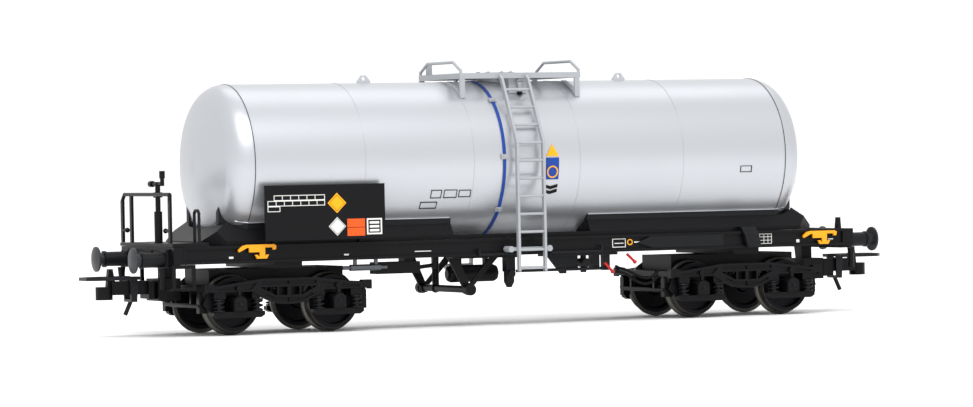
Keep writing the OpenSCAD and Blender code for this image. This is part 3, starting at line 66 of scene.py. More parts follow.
# each finish: colour and a second colour for its slow drift, gloss, and a grain whose size is in mm
finishes = {
    # silver lacquer sprayed on a moulded tank: a soft wide sheen with a very fine flake
    "silverLacquer": dict(colour="#bcbec2", drift="#b6b9be", metallic=0.75, roughness=0.37,
                          grainMm=0.35, grainBump=0.008, driftMm=30),
    # ABS moulded in black, left with the mould's satin face
    "blackAbs": dict(colour="#08080a", drift="#0d0d10", metallic=0, roughness=0.4, specular=0.14,
                     grainMm=0.3, grainBump=0.02, driftMm=9),
    # the same plastic in a dark grey, a shade paler and drier
    "darkGreyAbs": dict(colour="#0f1012", drift="#15161a", metallic=0, roughness=0.46, specular=0.16,
                        grainMm=0.3, grainBump=0.02, driftMm=7),
    # ABS moulded in pale grey, for ladders and walkway
    "paleGreyAbs": dict(colour="#a3a6aa", drift="#989b9f", metallic=0.15, roughness=0.42, specular=0.3,
                        grainMm=0.25, grainBump=0.02, driftMm=6),
    # printed blue ring, flat and even
    "bluePrint": dict(colour="#143f92", drift="#123a88", metallic=0, roughness=0.4, specular=0.25,
                      grainMm=0.2, grainBump=0.01, driftMm=5),
    # yellow enamel brushed on the rope hooks
    "yellowEnamel": dict(colour="#f0a212", drift="#e6960e", metallic=0, roughness=0.36, specular=0.3,
                         grainMm=0.4, grainBump=0.04, driftMm=3),
    # red enamel on the lever tips
    "redEnamel": dict(colour="#bd1419", drift="#a31016", metallic=0, roughness=0.34, specular=0.4,
                      grainMm=0.4, grainBump=0.04, driftMm=3),
    # zinc-plated steel wire, dulled
    "dulledZinc": dict(colour="#5d6064", drift="#505357", metallic=0.9, roughness=0.38,
                       grainMm=0.2, grainBump=0.03, driftMm=3),
    # chemically blackened steel of the coupling loops and coil springs
    "blackenedSteel": dict(colour="#1c1d1f", drift="#232427", metallic=0.8, roughness=0.42,
                           grainMm=0.2, grainBump=0.03, driftMm=3),
    # grey enamel on the buffer heads
    "greyEnamel": dict(colour="#2c2e32", drift="#26282c", metallic=0.2, roughness=0.4, specular=0.3,
                       grainMm=0.3, grainBump=0.02, driftMm=4),
    # white, orange and yellow inks of the printed signs
    "whiteInk": dict(colour="#dcdcd8", drift="#d2d2ce", metallic=0, roughness=0.5, specular=0.2,
                     grainMm=0.2, grainBump=0.01, driftMm=4),
    "orangeInk": dict(colour="#e0561c", drift="#d44e18", metallic=0, roughness=0.5, specular=0.2,
                      grainMm=0.2, grainBump=0.01, driftMm=4),
    "yellowInk": dict(colour="#f2a818", drift="#eaa012", metallic=0, roughness=0.5, specular=0.2,
                      grainMm=0.2, grainBump=0.01, driftMm=4),
    # soft black rubber of the hoses
    "blackRubber": dict(colour="#060606", drift="#0a0a0b", metallic=0, roughness=0.6, specular=0.12,
                        grainMm=0.25, grainBump=0.03, driftMm=4),
}


# what all the finishes share
finishBase = dict(driftDetail=3, grainDetail=2, glossSpread=0.05, grainStrength=0.5)


def makeFinish(name, finish, base):
    material = bpy.data.materials.new(name)
    material.use_nodes = True
    tree = material.node_tree
    shader = tree.nodes["Principled BSDF"]
    place = addNode(tree, "ShaderNodeTexCoord")
    slow = addNode(tree, "ShaderNodeTexNoise",
                   {"Vector": place.outputs["Object"], "Scale": 1 / (finish["driftMm"] * mm),
                    "Detail": base["driftDetail"]})
    fine = addNode(tree, "ShaderNodeTexNoise",
                   {"Vector": place.outputs["Object"], "Scale": 1 / (finish["grainMm"] * mm),
                    "Detail": base["grainDetail"]})
    tint = addNode(tree, "ShaderNodeMix",
                   {"Factor": slow.outputs["Fac"], "A": linear(finish["colour"]), "B": linear(finish["drift"])},
                   data_type="RGBA")
    gloss = addNode(tree, "ShaderNodeMapRange",
                    {"Value": slow.outputs["Fac"], "To Min": finish["roughness"] - base["glossSpread"],
                     "To Max": finish["roughness"] + base["glossSpread"]})
    bump = addNode(tree, "ShaderNodeBump",
                   {"Height": fine.outputs["Fac"], "Strength": base["grainStrength"],
                    "Distance": finish["grainBump"] * mm})
    tree.links.new(tint.outputs["Result"], shader.inputs["Base Color"])
    tree.links.new(gloss.outputs["Result"], shader.inputs["Roughness"])
    tree.links.new(bump.outputs["Normal"], shader.inputs["Normal"])
    shader.inputs["Metallic"].default_value = finish["metallic"]
    if "specular" in finish:
        shader.inputs["Specular IOR Level"].default_value = finish["specular"]
    return material


materials = {name: makeFinish(name, finish, finishBase) for name, finish in finishes.items()}
print("finishes made:", len(materials))

# blackened steel wheels: dark plating with turning rings and a brighter tyre edge
wheelSteel = dict(plated="#1f1f21", bright="#5c5a56", ringMm=0.12, ringDepthMm=0.01, ringStrength=0.4,
                  boxMm=11.9, tyreInner=5.2, tyreBlend=0.01, roughness=0.4)


def makeWheelSteel(name, steel):
    material = bpy.data.materials.new(name)
    material.use_nodes = True
    tree = material.node_tree
    shader = tree.nodes["Principled BSDF"]
    place = addNode(tree, "ShaderNodeTexCoord")
    centred = addNode(tree, "ShaderNodeVectorMath",
                      {0: place.outputs["Generated"], 1: (0.5, 0.5, 0.5)}, operation="SUBTRACT")
    flat = addNode(tree, "ShaderNodeVectorMath",
                   {0: centred.outputs["Vector"], 1: (1, 0, 1)}, operation="MULTIPLY")
    radius = addNode(tree, "ShaderNodeVectorMath", {0: flat.outputs["Vector"]}, operation="LENGTH")
    tyreEdge = steel["tyreInner"] / steel["boxMm"]
    edge = addNode(tree, "ShaderNodeMapRange",
                   {"Value": radius.outputs["Value"], "From Min": tyreEdge - steel["tyreBlend"],
                    "From Max": tyreEdge + steel["tyreBlend"]})
    rings = addNode(tree, "ShaderNodeMath",
                    {0: radius.outputs["Value"], 1: 2 * math.pi * steel["boxMm"] / steel["ringMm"]},
                    operation="MULTIPLY")
    turned = addNode(tree, "ShaderNodeMath", {0: rings.outputs["Value"]}, operation="SINE")
    tint = addNode(tree, "ShaderNodeMix",
                   {"Factor": edge.outputs["Result"], "A": linear(steel["plated"]),
                    "B": linear(steel["bright"])}, data_type="RGBA")
    bump = addNode(tree, "ShaderNodeBump",
                   {"Height": turned.outputs["Value"], "Strength": steel["ringStrength"],
                    "Distance": steel["ringDepthMm"] * mm})
    tree.links.new(tint.outputs["Result"], shader.inputs["Base Color"])
    tree.links.new(bump.outputs["Normal"], shader.inputs["Normal"])
    shader.inputs["Metallic"].default_value = 1
    shader.inputs["Roughness"].default_value = steel["roughness"]
    return material


materials["wheelSteel"] = makeWheelSteel("wheelSteel", wheelSteel)

slotFinish = {
    "tank_silver": "silverLacquer",
    "frame_black": "blackAbs",
    "frame_dark_grey": "darkGreyAbs",
    "detail_grey": "paleGreyAbs",
    "band_blue": "bluePrint",
    "hook_yellow": "yellowEnamel",
    "lever_red": "redEnamel",
    "wheel_metal": "wheelSteel",
    "axle_metal": "dulledZinc",
    "buffer_grey": "greyEnamel",
    "loop_metal": "blackenedSteel",
    "adjuster_metal": "dulledZinc",
}
for node in nodes.values():
    for slot in node.material_slots:
        slot.material = materials[slotFinish[slot.material.name]]
print("CAD nodes finished:", len(nodes))


def makePiece(name, build, finish, body):
    bmesh.ops.recalc_face_normals(build, faces=build.faces[:])
    mesh = bpy.data.meshes.new(name)
    build.to_mesh(mesh)
    build.free()
    piece = bpy.data.objects.new(name, mesh)
    bpy.context.scene.collection.objects.link(piece)
    mesh.materials.append(materials[finish])
    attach(piece, body)
    return piece


def sweepTube(build, points, radius, sides):
    # a round tube along the points, closed at both ends; sizes in mm
    path = [Vector(point) for point in points]
    rings = []
    across = None
    for i, point in enumerate(path):
        ahead = path[min(i + 1, len(path) - 1)] - path[max(i - 1, 0)]
        ahead.normalize()
        if across is None:
            across = ahead.orthogonal()
        across = (across - across.dot(ahead) * ahead).normalized()
        over = ahead.cross(across)
        ring = []
        for k in range(sides):
            angle = 2 * math.pi * k / sides
            offset = radius * (math.cos(angle) * across + math.sin(angle) * over)
            ring.append(build.verts.new((point + offset) * mm))
        rings.append(ring)
    for a, b in zip(rings, rings[1:]):
        for k in range(sides):
            build.faces.new((a[k], a[(k + 1) % sides], b[(k + 1) % sides], b[k]))
    build.faces.new(rings[0][::-1])
    build.faces.new(rings[-1])


def smoothPath(points, steps):
    # more points between the given ones, on a curve through all of them
    path = []
    for i in range(len(points) - 1):
        p0, p1, p2, p3 = (Vector(points[min(max(k, 0), len(points) - 1)]) for k in range(i - 1, i + 3))
        for j in range(steps):
            t = j / steps
            path.append(0.5 * (2 * p1 + (p2 - p0) * t + (2 * p0 - 5 * p1 + 4 * p2 - p3) * t * t
                               + (3 * p1 - p0 - 3 * p2 + p3) * t ** 3))
    path.append(Vector(points[-1]))
    return path


# washer and head of a bolt: width, bottom and top as shares of its radius and height, then its sides
boltShape = dict(washer=(1.35, 0, 0.3, 16), head=(1, 0.2, 1, 6), taper=0.9, sink=0.02)


def addBolt(build, place, facing, radius, height):
    # a hexagon head on a small washer; facing is the direction that it points
    turn = Vector(facing).to_track_quat("Z", "Y").to_matrix().to_4x4()
    for wide, low, high, sides in (boltShape["washer"], boltShape["head"]):
        seat = Matrix.Translation(Vector(place) * mm) @ turn @ Matrix.Translation(
            (0, 0, (low + high) / 2 * height * mm))
        bmesh.ops.create_cone(build, cap_ends=True, segments=sides, radius1=wide * radius * mm,
                              radius2=wide * radius * boltShape["taper"] * mm,
                              depth=(high - low) * height * mm, matrix=seat)


def addPatch(build, corners, surface, thickness, steps=1):
    # a thin printed patch between four corners (u, v), laid on a surface that maps (u, v, height) to mm
    top, bottom = [], []
    for layer, height in ((bottom, 0), (top, thickness)):
        for i in range(steps + 1):
            row = []
            for j in range(steps + 1):
                a, b = i / steps, j / steps
                u, v = (sum(weight * corner[axis] for weight, corner in zip(
                    ((1 - a) * (1 - b), a * (1 - b), a * b, (1 - a) * b), corners)) for axis in (0, 1))
                row.append(build.verts.new(Vector(surface(u, v, height)) * mm))
            layer.append(row)
    n = steps
    for i in range(n):
        for j in range(n):
            for layer in (top, bottom):
                build.faces.new((layer[i][j], layer[i + 1][j], layer[i + 1][j + 1], layer[i][j + 1]))
        for j in (0, n):
            build.faces.new((top[i][j], top[i + 1][j], bottom[i + 1][j], bottom[i][j]))
            build.faces.new((top[j][i], top[j][i + 1], bottom[j][i + 1], bottom[j][i]))


def addRect(build, u0, v0, u1, v1, surface, thickness, steps=1):
    addPatch(build, ((u0, v0), (u1, v0), (u1, v1), (u0, v1)), surface, thickness, steps)


def addFrame(build, u0, v0, u1, v1, line, surface, thickness):
    # a thin outline of a rectangle
    addRect(build, u0, v0, u1, v0 + line, surface, thickness)
    addRect(build, u0, v1 - line, u1, v1, surface, thickness)
    addRect(build, u0, v0 + line, u0 + line, v1 - line, surface, thickness)
    addRect(build, u1 - line, v0 + line, u1, v1 - line, surface, thickness)


def addRing(build, u, v, inner, outer, parts, surface, thickness):
    # a flat ring round (u, v), made of short patches
    for k in range(parts):
        a0, a1 = 2 * math.pi * k / parts, 2 * math.pi * (k + 1) / parts
        addPatch(build, tuple((u + r * math.cos(a), v + r * math.sin(a))
                              for r, a in ((inner, a0), (outer, a0), (outer, a1), (inner, a1))),
                 surface, thickness)


def boxMm(node):
    lo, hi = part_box(node)
    return [v / mm for v in lo], [v / mm for v in hi]


tankLo, tankHi = boxMm("tank")
tankR = (tankHi[1] - tankLo[1]) / 2
tankZ = tankLo[2] + tankR
frameLo, frameHi = boxMm("sole_bars")
headLo, headHi = boxMm("headstocks")

# coil springs of the bogies, each with a rod through its middle
springs = dict(wire=0.16, turns=4.2, reach=3.9, stepsPerTurn=18, sides=8, endTurns=0.9, endRise=0.04,
               outsideR=1.15, rodR=0.5, rodSides=12)


def coilPoints(centre, bottom, top, values):
    wire, turns, endTurns = values["wire"], values["turns"], values["endTurns"]
    coilR = values["outsideR"] - wire
    count = int(turns * values["stepsPerTurn"])
    points = []
    for k in range(count + 1):
        turn = turns * k / count
        flat = min(max((turn - endTurns) / (turns - 2 * endTurns), 0), 1)
        rise = flat + values["endRise"] * (turn / turns - flat)
        angle = 2 * math.pi * turn
        z = bottom + wire + rise * (top - bottom - 2 * wire)
        points.append(centre + Vector((coilR * math.cos(angle), coilR * math.sin(angle), z)))
    return points


def makeCoils(side, values):
    lo, hi = boxMm(side + "_bogie_springs")
    mid = (lo[0] + hi[0]) / 2
    outsideR = values["outsideR"]
    outerX = (hi[0] - lo[0]) / 2 - outsideR
    build = bmesh.new()
    for x in (outerX, outerX - 2 * values["reach"]):
        for sx in (-1, 1):
            for y in (hi[1] - outsideR, lo[1] + outsideR):
                centre = Vector((mid + sx * x, y, 0))
                sweepTube(build, coilPoints(centre, lo[2], hi[2], values), values["wire"], values["sides"])
                rod = [centre + Vector((0, 0, lo[2])), centre + Vector((0, 0, hi[2]))]
                sweepTube(build, rod, values["rodR"], values["rodSides"])
    coils = makePiece(side + "BogieCoils", build, "blackenedSteel", "bogie_" + side)
    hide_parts(side + "_bogie_springs")


for side in ("left", "right"):
    makeCoils(side, springs)
print("coil springs made")

# bolts of the axle box covers and rivets of the bogie side frames
bogieBolts = dict(coverPlaces=((-0.85, -0.65), (0.85, -0.65), (-0.8, 0.75), (0.8, 0.75)), coverR=0.16,
                  coverH=0.14, capRise=0.1, capR=0.34, capH=0.26, faceInset=0.3, rivetR=0.14, rivetH=0.1,
                  armPlaces=(-7.2, -5.6, -4, 4, 5.4), armDrop=1.7, armSlope=0.03,
                  topPlaces=(-5, -3, -1, 1, 3, 5), topDrop=0.28)


def makeBogieBolts(side, values):
    boxHi = boxMm(side + "_bogie_axle_boxes")[1]
    sideLo, sideHi = boxMm(side + "_bogie_side_frames")
    wheelLo, wheelHi = boxMm(side + "_outer_wheels")
    mid = (sideLo[0] + sideHi[0]) / 2
    axleX = abs((wheelLo[0] + wheelHi[0]) / 2 - mid)
    axleZ = (wheelLo[2] + wheelHi[2]) / 2
    coverY = boxHi[1] - boltShape["sink"]
    faceY = sideHi[1] - values["faceInset"] - boltShape["sink"]
    rivetR, rivetH = values["rivetR"], values["rivetH"]
    build = bmesh.new()
    for sy in (-1, 1):
        for sx in (-1, 1):
            x = mid + sx * axleX
            for dx, dz in values["coverPlaces"]:
                addBolt(build, (x + dx, sy * coverY, axleZ + dz), (0, sy, 0),
                        values["coverR"], values["coverH"])
            addBolt(build, (x, sy * coverY, axleZ + values["capRise"]), (0, sy, 0),
                    values["capR"], values["capH"])
            for dx in values["armPlaces"]:
                z = sideHi[2] - values["armDrop"] + values["armSlope"] * dx
                addBolt(build, (x + sx * dx, sy * faceY, z), (0, sy, 0), rivetR, rivetH)
        for dx in values["topPlaces"]:
            addBolt(build, (mid + dx, sy * faceY, sideHi[2] - values["topDrop"]), (0, sy, 0), rivetR, rivetH)
    makePiece(side + "BogieBolts", build, "darkGreyAbs", "bogie_" + side)


for side in ("left", "right"):
    makeBogieBolts(side, bogieBolts)

# bolts of the buffer plates, rivets of the headstocks and of the sole bars
frameBolts = dict(plateOut=0.5, plateY=(-1.5, 1.5), plateZ=(-1.2, 1.45), plateR=0.22, plateH=0.18,
                  beamEachWay=4, beamPitch=1.5, beamClear=2.8, beamInset=0.26, beamDrop=0.6,
                  barEachWay=14, barPitch=5, barShift=1.4, barDrop=0.28, barShare=0.8,
                  rivetR=0.14, rivetH=0.1)


def makeFrameBolts(values):
    build = bmesh.new()
    bufferLo, bufferHi = boxMm("buffer_heads")
    bufferZ = (bufferLo[2] + bufferHi[2]) / 2
    bufferY = bufferHi[1] - (bufferHi[2] - bufferLo[2]) / 2
    rivetR, rivetH = values["rivetR"], values["rivetH"]
    for sx in (-1, 1):
        for sy in (-1, 1):
            for dy in values["plateY"]:
                for dz in values["plateZ"]:
                    place = (sx * (headHi[0] + values["plateOut"]), sy * bufferY + dy, bufferZ + dz)
                    addBolt(build, place, (sx, 0, 0), values["plateR"], values["plateH"])
        for k in range(-values["beamEachWay"], values["beamEachWay"] + 1):
            y = k * values["beamPitch"]
            if abs(y) > values["beamClear"]:
                place = (sx * (headHi[0] - values["beamInset"]), y, headHi[2] - values["beamDrop"])
                addBolt(build, place, (sx, 0, 0), rivetR, rivetH)
    for sy in (-1, 1):
        for k in range(-values["barEachWay"], values["barEachWay"] + 1):
            place = (k * values["barPitch"] + values["barShift"], sy * (frameHi[1] - boltShape["sink"]),
                     frameHi[2] - values["barDrop"])
            addBolt(build, place, (0, sy, 0), rivetR * values["barShare"], rivetH)
    makePiece("frameBolts", build, "darkGreyAbs", "wagon")


makeFrameBolts(frameBolts)
print("bolts made")

# dark seam lines round the ends of the barrel
endSeams = dict(x=57.9, width=0.14, lift=0.04, depth=0.2, segments=160)


def makeSeamRing(name, x, values):
    build = bmesh.new()
    rings = []
    half, n = values["width"] / 2, values["segments"]
    inner, outer = tankR - values["depth"], tankR + values["lift"]
    for dx, r in ((-half, inner), (-half, outer), (half, outer), (half, inner)):
        ring = []
        for k in range(n):
            angle = 2 * math.pi * k / n
            corner = Vector((x + dx, r * math.sin(angle), tankZ + r * math.cos(angle)))
            ring.append(build.verts.new(corner * mm))
        rings.append(ring)
    for a, b in zip(rings, rings[1:] + rings[:1]):
        for k in range(n):
            build.faces.new((a[k], a[(k + 1) % n], b[(k + 1) % n], b[k]))
    makePiece(name, build, "greyEnamel", "wagon")


for side, sx in (("left", -1), ("right", 1)):
    makeSeamRing(side + "EndSeam", sx * endSeams["x"], endSeams)

# clips on the blue ring: each layer's shares of the width and of the arc, and its extra thickness
bandClips = dict(angles=(42, 88, 128), halfX=0.75, halfArc=0.5, thickness=0.28, lift=0.05,
                 layers=((1, 1, 0), (0.45, 0.6, 0.6)), steps=2)


def bandSurface(x, sy, middle, lift):
    # u is the place along the wagon and v the arc, both from the middle of the clip
    def place(u, v, height):
        angle = middle + v / tankR
        r = tankR + lift + height
        return x + u, sy * r * math.sin(angle), tankZ + r * math.cos(angle)
    return place


def makeBandClips(values):
    bandLo, bandHi = boxMm("blue_band")
    x = (bandLo[0] + bandHi[0]) / 2
    build = bmesh.new()
    for sy in (-1, 1):
        for degrees in values["angles"]:
            surface = bandSurface(x, sy, math.radians(degrees), values["lift"])
            for width, arc, extra in values["layers"]:
                halfX, halfArc = values["halfX"] * width, values["halfArc"] * arc
                addRect(build, -halfX, -halfArc, halfX, halfArc, surface,
                        values["thickness"] * (1 + extra), values["steps"])
    makePiece("bandClips", build, "paleGreyAbs", "wagon")


makeBandClips(bandClips)

# cap and cross handle of each valve
valveCaps = dict(x=1.6, inset=0.45, rise=13.4, capR=0.52, capH=0.55, capSides=20,
                 handleReach=0.6, handleOut=0.1, handleRise=1.9, handleR=0.14, handleSides=10)


def makeValveCaps(values):
    boxesHi = boxMm("valve_boxes")[1]
    build = bmesh.new()
    for sy in (-1, 1):
        seat = Vector((values["x"], sy * (boxesHi[1] - values["inset"]), tankZ + values["rise"]))
        sweepTube(build, [seat, seat - Vector((0, 0, values["capH"]))], values["capR"], values["capSides"])
        ends = [seat + Vector((reach, sy * values["handleOut"], values["handleRise"]))
                for reach in (-values["handleReach"], values["handleReach"])]
        sweepTube(build, ends, values["handleR"], values["handleSides"])
    makePiece("valveCaps", build, "blackAbs", "wagon")


makeValveCaps(valveCaps)
print("tank trim made")

# painted highlight: a thin bead of the tank's silver where the tank meets its trough pads, standing in for the
# lit top edge of the pads, with a short turned-in end
padEdgeHighlights = dict(innerX=15.2, y=11.05, lift=0.06, parts=12, tipX=2.4, tipY=10.4, tipRise=0.35,
                radius=0.11, sides=8)


def makePadEdgeHighlights(values):
    innerX, outerX = values["innerX"], endSeams["x"]
    z = tankZ - math.sqrt((tankR + values["lift"]) ** 2 - values["y"] ** 2)
    parts = values["parts"]
    build = bmesh.new()
    for sx in (-1, 1):
        for sy in (-1, 1):
            path = [Vector((sx * (innerX + (outerX - innerX) * k / parts), sy * values["y"], z))
                    for k in range(parts + 1)]
            path.append(Vector((sx * (outerX + values["tipX"]), sy * values["tipY"], z + values["tipRise"])))
            sweepTube(build, path, values["radius"], values["sides"])
    # the silver bead is a painted highlight of the pads' lit edge, not a line of paint
    makePiece("padEdgeHighlights", build, "silverLacquer", "wagon")


makePadEdgeHighlights(padEdgeHighlights)

# signs on the boards: blank coloured shapes and empty cells, placed from the board's top left corner
signs = dict(ink=0.05, line=0.13,
             rows=((1.8, 12.4, 1.9), (0.5, 12.4, 2.95), (0.5, 3.1, 4.0)), rowHeight=1.05,
             cellPitch=1.7, cellInset=0.15,
             yellowDiamond=(14.9, 3.6, 1.95), whiteDiamond=(14.9, 8.1, 1.8),
             borderR=1.6, borderWidth=0.1, borderLift=1.6,
             panel=(21.1, 6.7, 24.3, 9.8), panelLine=0.3,
             panelBar=(21.7, 7.3, 23.7, 7.75), panelBars=3, panelPitch=0.75,
             orangeCells=((17, 6.7, 20.7, 8.3), (17, 8.42, 20.7, 10)))


def boardSurface(side):
    # u runs along the board from its left edge, v down from its top edge, for someone facing it
    lo, hi = boxMm("sign_boards")

    def place(u, v, height):
        if side == "near":
            return lo[0] + u, lo[1] - height, hi[2] - v
        return hi[0] - u, hi[1] + height, hi[2] - v
    return place


def addDiamond(build, u, v, r, surface, thickness):
    addPatch(build, ((u - r, v), (u, v - r), (u + r, v), (u, v + r)), surface, thickness)


def addDiamondBorder(build, u, v, r, width, surface, thickness):
    shrink = 1 - width / r
    corners = ((-r, 0), (0, -r), (r, 0), (0, r))
    for a, b in zip(corners, corners[1:] + corners[:1]):
        addPatch(build, ((u + a[0], v + a[1]), (u + b[0], v + b[1]),
                         (u + b[0] * shrink, v + b[1] * shrink), (u + a[0] * shrink, v + a[1] * shrink)),
                 surface, thickness)


def makeSigns(side, values):
    surface = boardSurface(side)
    ink, line = values["ink"], values["line"]
    white = bmesh.new()
    for u0, u1, v in values["rows"]:
        addFrame(white, u0, v, u1, v + values["rowHeight"], line, surface, ink)
        for k in range(1, int((u1 - u0) / values["cellPitch"])):
            u = u0 + k * values["cellPitch"]
            addRect(white, u, v + values["cellInset"], u + line, v + values["rowHeight"] - values["cellInset"],
                    surface, ink)
    addDiamond(white, *values["whiteDiamond"], surface, ink)
    addFrame(white, *values["panel"], values["panelLine"], surface, ink)
    u0, v0, u1, v1 = values["panelBar"]
    for k in range(values["panelBars"]):
        down = k * values["panelPitch"]
        addRect(white, u0, v0 + down, u1, v1 + down, surface, ink)
    makePiece(side + "WhiteSigns", white, "whiteInk", "wagon")
    yellow = bmesh.new()
    addDiamond(yellow, *values["yellowDiamond"], surface, ink)
    makePiece(side + "YellowSign", yellow, "yellowInk", "wagon")
    orange = bmesh.new()
    for cell in values["orangeCells"]:
        addRect(orange, *cell, surface, ink)
    makePiece(side + "OrangeSign", orange, "orangeInk", "wagon")
    dark = bmesh.new()
    for u, v, r in (values["yellowDiamond"], values["whiteDiamond"]):
        addDiamondBorder(dark, u, v, values["borderR"], values["borderWidth"], surface,
                         ink * values["borderLift"])
    makePiece(side + "SignBorders", dark, "blackAbs", "wagon")


for side in ("near", "far"):
    makeSigns(side, signs)

# marks on the barrel beside the ladder, from x along the wagon; heights are above the rail
tankMarks = dict(ink=0.04, lift=0.02, x=5.3,
                 triangle=((-1.35, 33.2), (1.35, 33.2), (0.04, 35.5), (-0.04, 35.5)), triangleSteps=4,
                 ringZ=30.1, ringInner=0.95, ringOuter=1.2, ringParts=24, ringLift=2,
                 plate=(-1.4, 28.6, 1.4, 32.9), plateSteps=8,
                 chevrons=2, chevronZ=25.9, chevronPitch=0.95, chevronBend=-0.1, chevronReach=1.5,
                 chevronEnd=0.2, chevronMiddle=-0.2, chevronWidth=0.6, chevronSteps=3,
                 labelLine=0.12,
                 labels=((-20.6, 25.4, -18.3, 27), (-17.8, 25.4, -15, 27), (-14.6, 25.5, -12, 26.9),
                         (-22.5, 23.4, -18.9, 24.7), (47.6, 29.2, 50.2, 30.5)))


def tankSurface(sy, lift):
    # u is the place along the wagon, v the height
    def place(u, v, height):
        r = tankR + lift + height
        rise = max(-1, min(1, (v - tankZ) / tankR))
        return u, sy * r * math.sqrt(1 - rise * rise), tankZ + r * rise
    return place


def makeTankMarks(name, sy, values):
    # a blank triangle, a blank plate with a ring, chevron bars and empty labels
    surface = tankSurface(sy, values["lift"])
    ink, x = values["ink"], values["x"]
    yellow = bmesh.new()
    addPatch(yellow, tuple((x + u, v) for u, v in values["triangle"]), surface, ink, values["triangleSteps"])
    addRing(yellow, x, values["ringZ"], values["ringInner"], values["ringOuter"], values["ringParts"],
            surface, ink * values["ringLift"])
    makePiece(name + "TankTriangle", yellow, "yellowInk", "wagon")
    blue = bmesh.new()
    u0, v0, u1, v1 = values["plate"]
    addRect(blue, x + u0, v0, x + u1, v1, surface, ink, values["plateSteps"])
    makePiece(name + "TankPlate", blue, "bluePrint", "wagon")
    bars = bmesh.new()
    bend, reach, width = x + values["chevronBend"], values["chevronReach"], values["chevronWidth"]
    for k in range(values["chevrons"]):
        z = values["chevronZ"] + k * values["chevronPitch"]
        end, middle = z + values["chevronEnd"], z + values["chevronMiddle"]
        for u0, v0, u1, v1 in ((bend - reach, end, bend, middle), (bend, middle, bend + reach, end)):
            addPatch(bars, ((u0, v0), (u1, v1), (u1, v1 + width), (u0, v0 + width)), surface, ink,
                     values["chevronSteps"])
    makePiece(name + "TankChevron", bars, "blackAbs", "wagon")
    frames = bmesh.new()
    for label in values["labels"]:
        addFrame(frames, *label, values["labelLine"], surface, ink)
    makePiece(name + "TankFrames", frames, "blackAbs", "wagon")


for name, sy in (("near", -1), ("far", 1)):
    makeTankMarks(name, sy, tankMarks)
print("signs made")

# marks on the sole bars: an empty label, a grid, a ring and short bars; heights are above the bar's bottom
soleMarks = dict(ink=0.04, webInset=0.45,
                 label=(19.2, 0.85, 22.2, 2.6), labelLine=0.15, labelBar=(19.7, 1.6, 21.7, 1.75),
                 bars=((24.1, 1.7, 26, 1.95), (27.6, 1.75, 30.8, 1.9), (36.4, 0.8, 37.9, 1.0),
                       (-74, 1.1, -73.2, 1.3), (-62.9, 0.9, -62, 1.3), (61.2, 0.8, 61.9, 1.4),
                       (68.6, 1.2, 69.8, 1.4), (-24, 1.2, -20.5, 1.35), (-39, 0.9, -38, 1.2)),
                 grid=(52.6, 0.7, 55.5, 2.75), gridFrame=0.13, gridLine=0.1, gridPitchU=0.93, gridPitchV=0.68,
                 gridLines=2, ringPlace=(23.15, 1.85), ringInner=0.42, ringOuter=0.62, ringParts=24)


def soleSurface(sy, webY):
    # u is the place along the wagon, v the height above the bottom of the sole bar
    def place(u, v, height):
        return u, sy * (webY + height), frameLo[2] + v
    return place


def makeSoleMarks(name, sy, values):
    surface = soleSurface(sy, frameHi[1] - values["webInset"])
    ink, line = values["ink"], values["gridLine"]
    white = bmesh.new()
    addFrame(white, *values["label"], values["labelLine"], surface, ink)
    addRect(white, *values["labelBar"], surface, ink)
    for bar in values["bars"]:
        addRect(white, *bar, surface, ink)
    u0, v0, u1, v1 = values["grid"]
    addFrame(white, u0, v0, u1, v1, values["gridFrame"], surface, ink)
    for k in range(1, values["gridLines"] + 1):
        u, v = u0 + line + k * values["gridPitchU"], v0 + k * values["gridPitchV"]
        addRect(white, u, v0 + line, u + line, v1 - line, surface, ink)
        addRect(white, u0 + line, v, u1 - line, v + line, surface, ink)
    makePiece(name + "SoleMarks", white, "whiteInk", "wagon")
    ring = bmesh.new()
    addRing(ring, *values["ringPlace"], values["ringInner"], values["ringOuter"], values["ringParts"],
            surface, ink)
    makePiece(name + "SoleRing", ring, "yellowInk", "wagon")


for name, sy in (("near", -1), ("far", 1)):
    makeSoleMarks(name, sy, soleMarks)
print("sole bar marks made")

# two rubber hoses beside the right bogie, on the near side, with a cuff at each end
hoses = dict(radius=0.28, steps=8, sides=12, cuffLift=0.12, cuffSteps=3, cuffShare=0.8,
             lower=((20.3, -12.7, 10.1), (22.4, -13.1, 9.4), (24.4, -13.2, 8.1), (26.4, -13.2, 7.4),
                    (28.2, -13.1, 7.7), (29.8, -12.8, 8.9)),
             upper=((20.3, -12.5, 10.9), (22.6, -12.9, 10.2), (24.8, -13.1, 9.1), (26.8, -13.1, 8.5),
                    (28.4, -13, 8.8), (29.7, -12.7, 9.9)))


def makeHoses(values):
    build = bmesh.new()
    cuff = values["cuffSteps"]
    for points in (values["lower"], values["upper"]):
        path = smoothPath(points, values["steps"])
        sweepTube(build, path, values["radius"], values["sides"])
        for a, b in ((path[0], path[cuff]), (path[-1], path[-1 - cuff])):
            sweepTube(build, [a, a + (b - a) * values["cuffShare"]], values["radius"] + values["cuffLift"],
                      values["sides"])
    makePiece("bogieHoses", build, "blackRubber", "wagon")


makeHoses(hoses)
print("hoses made")

# camera, with its place in mm
camera = dict(place=(-367.78, -766.5, 33.57), forward=(0.4308, 0.9024, -0.0113), roll=-0.0194, lens=157.5,
              sensorWidth=36, clipStart=0.01, clipEnd=100)


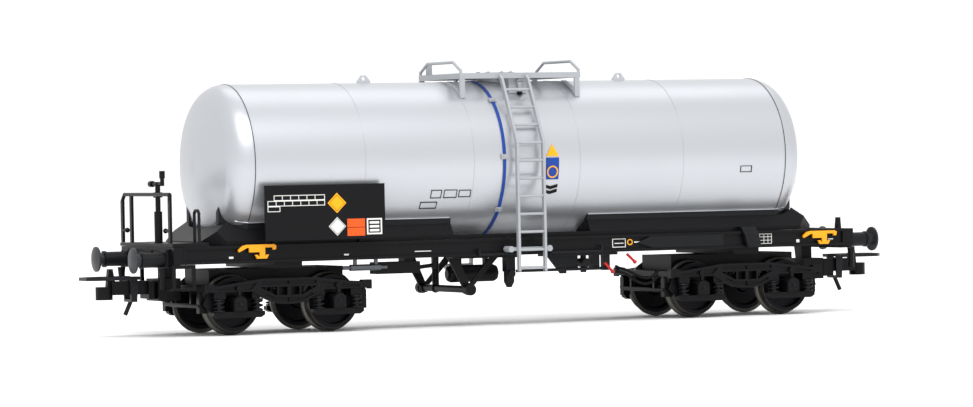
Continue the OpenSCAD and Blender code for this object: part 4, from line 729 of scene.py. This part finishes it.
def makeCamera(values):
    data = bpy.data.cameras.new("camera")
    data.lens = values["lens"]
    data.sensor_width = values["sensorWidth"]
    data.clip_start = values["clipStart"]
    data.clip_end = values["clipEnd"]
    thing = bpy.data.objects.new("camera", data)
    bpy.context.scene.collection.objects.link(thing)
    forward = Vector(values["forward"]).normalized()
    level = forward.cross(Vector((0, 0, 1))).normalized()
    upright = level.cross(forward)
    turn = values["roll"]
    right = math.cos(turn) * level + math.sin(turn) * upright
    up = -math.sin(turn) * level + math.cos(turn) * upright
    thing.matrix_world = Matrix((right, up, -forward)).transposed().to_4x4()
    thing.location = Vector(values["place"]) * mm
    bpy.context.scene.camera = thing


makeCamera(camera)

# white studio: even light, a soft box in front, a small one behind, and a matt paper floor
studio = dict(worldLight=1.08, floorHalf=12.0, floorColour="#fbfbfb", floorRoughness=0.9, floorSpecular=0.1,
              softboxSize=(0.9, 0.5), softboxPlace=(-0.25, -0.75, 0.95), softboxPower=10,
              backPlace=(0.3, 0.5, 1.1), backSize=(1.0, 0.6), backPower=2)


def makeLight(name, place, size, power):
    data = bpy.data.lights.new(name, "AREA")
    data.shape = "RECTANGLE"
    data.size, data.size_y = size
    data.energy = power
    lamp = bpy.data.objects.new(name, data)
    bpy.context.scene.collection.objects.link(lamp)
    lamp.location = place
    lamp.rotation_euler = (-Vector(place)).to_track_quat("-Z", "Y").to_euler()


def makeStudio(values):
    world = bpy.data.worlds.new("studio")
    world.use_nodes = True
    background = world.node_tree.nodes["Background"]
    background.inputs["Color"].default_value = (1, 1, 1, 1)
    background.inputs["Strength"].default_value = values["worldLight"]
    bpy.context.scene.world = world
    bpy.context.scene.view_settings.view_transform = "Standard"
    makeLight("frontSoftbox", values["softboxPlace"], values["softboxSize"], values["softboxPower"])
    makeLight("backSoftbox", values["backPlace"], values["backSize"], values["backPower"])

    mesh = bpy.data.meshes.new("studioFloor")
    build = bmesh.new()
    bmesh.ops.create_grid(build, x_segments=1, y_segments=1, size=values["floorHalf"])
    build.to_mesh(mesh)
    build.free()
    floor = bpy.data.objects.new("studioFloor", mesh)
    bpy.context.scene.collection.objects.link(floor)
    paper = bpy.data.materials.new("matPaper")
    paper.use_nodes = True
    shader = paper.node_tree.nodes["Principled BSDF"]
    shader.inputs["Base Color"].default_value = linear(values["floorColour"])
    shader.inputs["Roughness"].default_value = values["floorRoughness"]
    shader.inputs["Specular IOR Level"].default_value = values["floorSpecular"]
    mesh.materials.append(paper)


makeStudio(studio)
print("studio set")
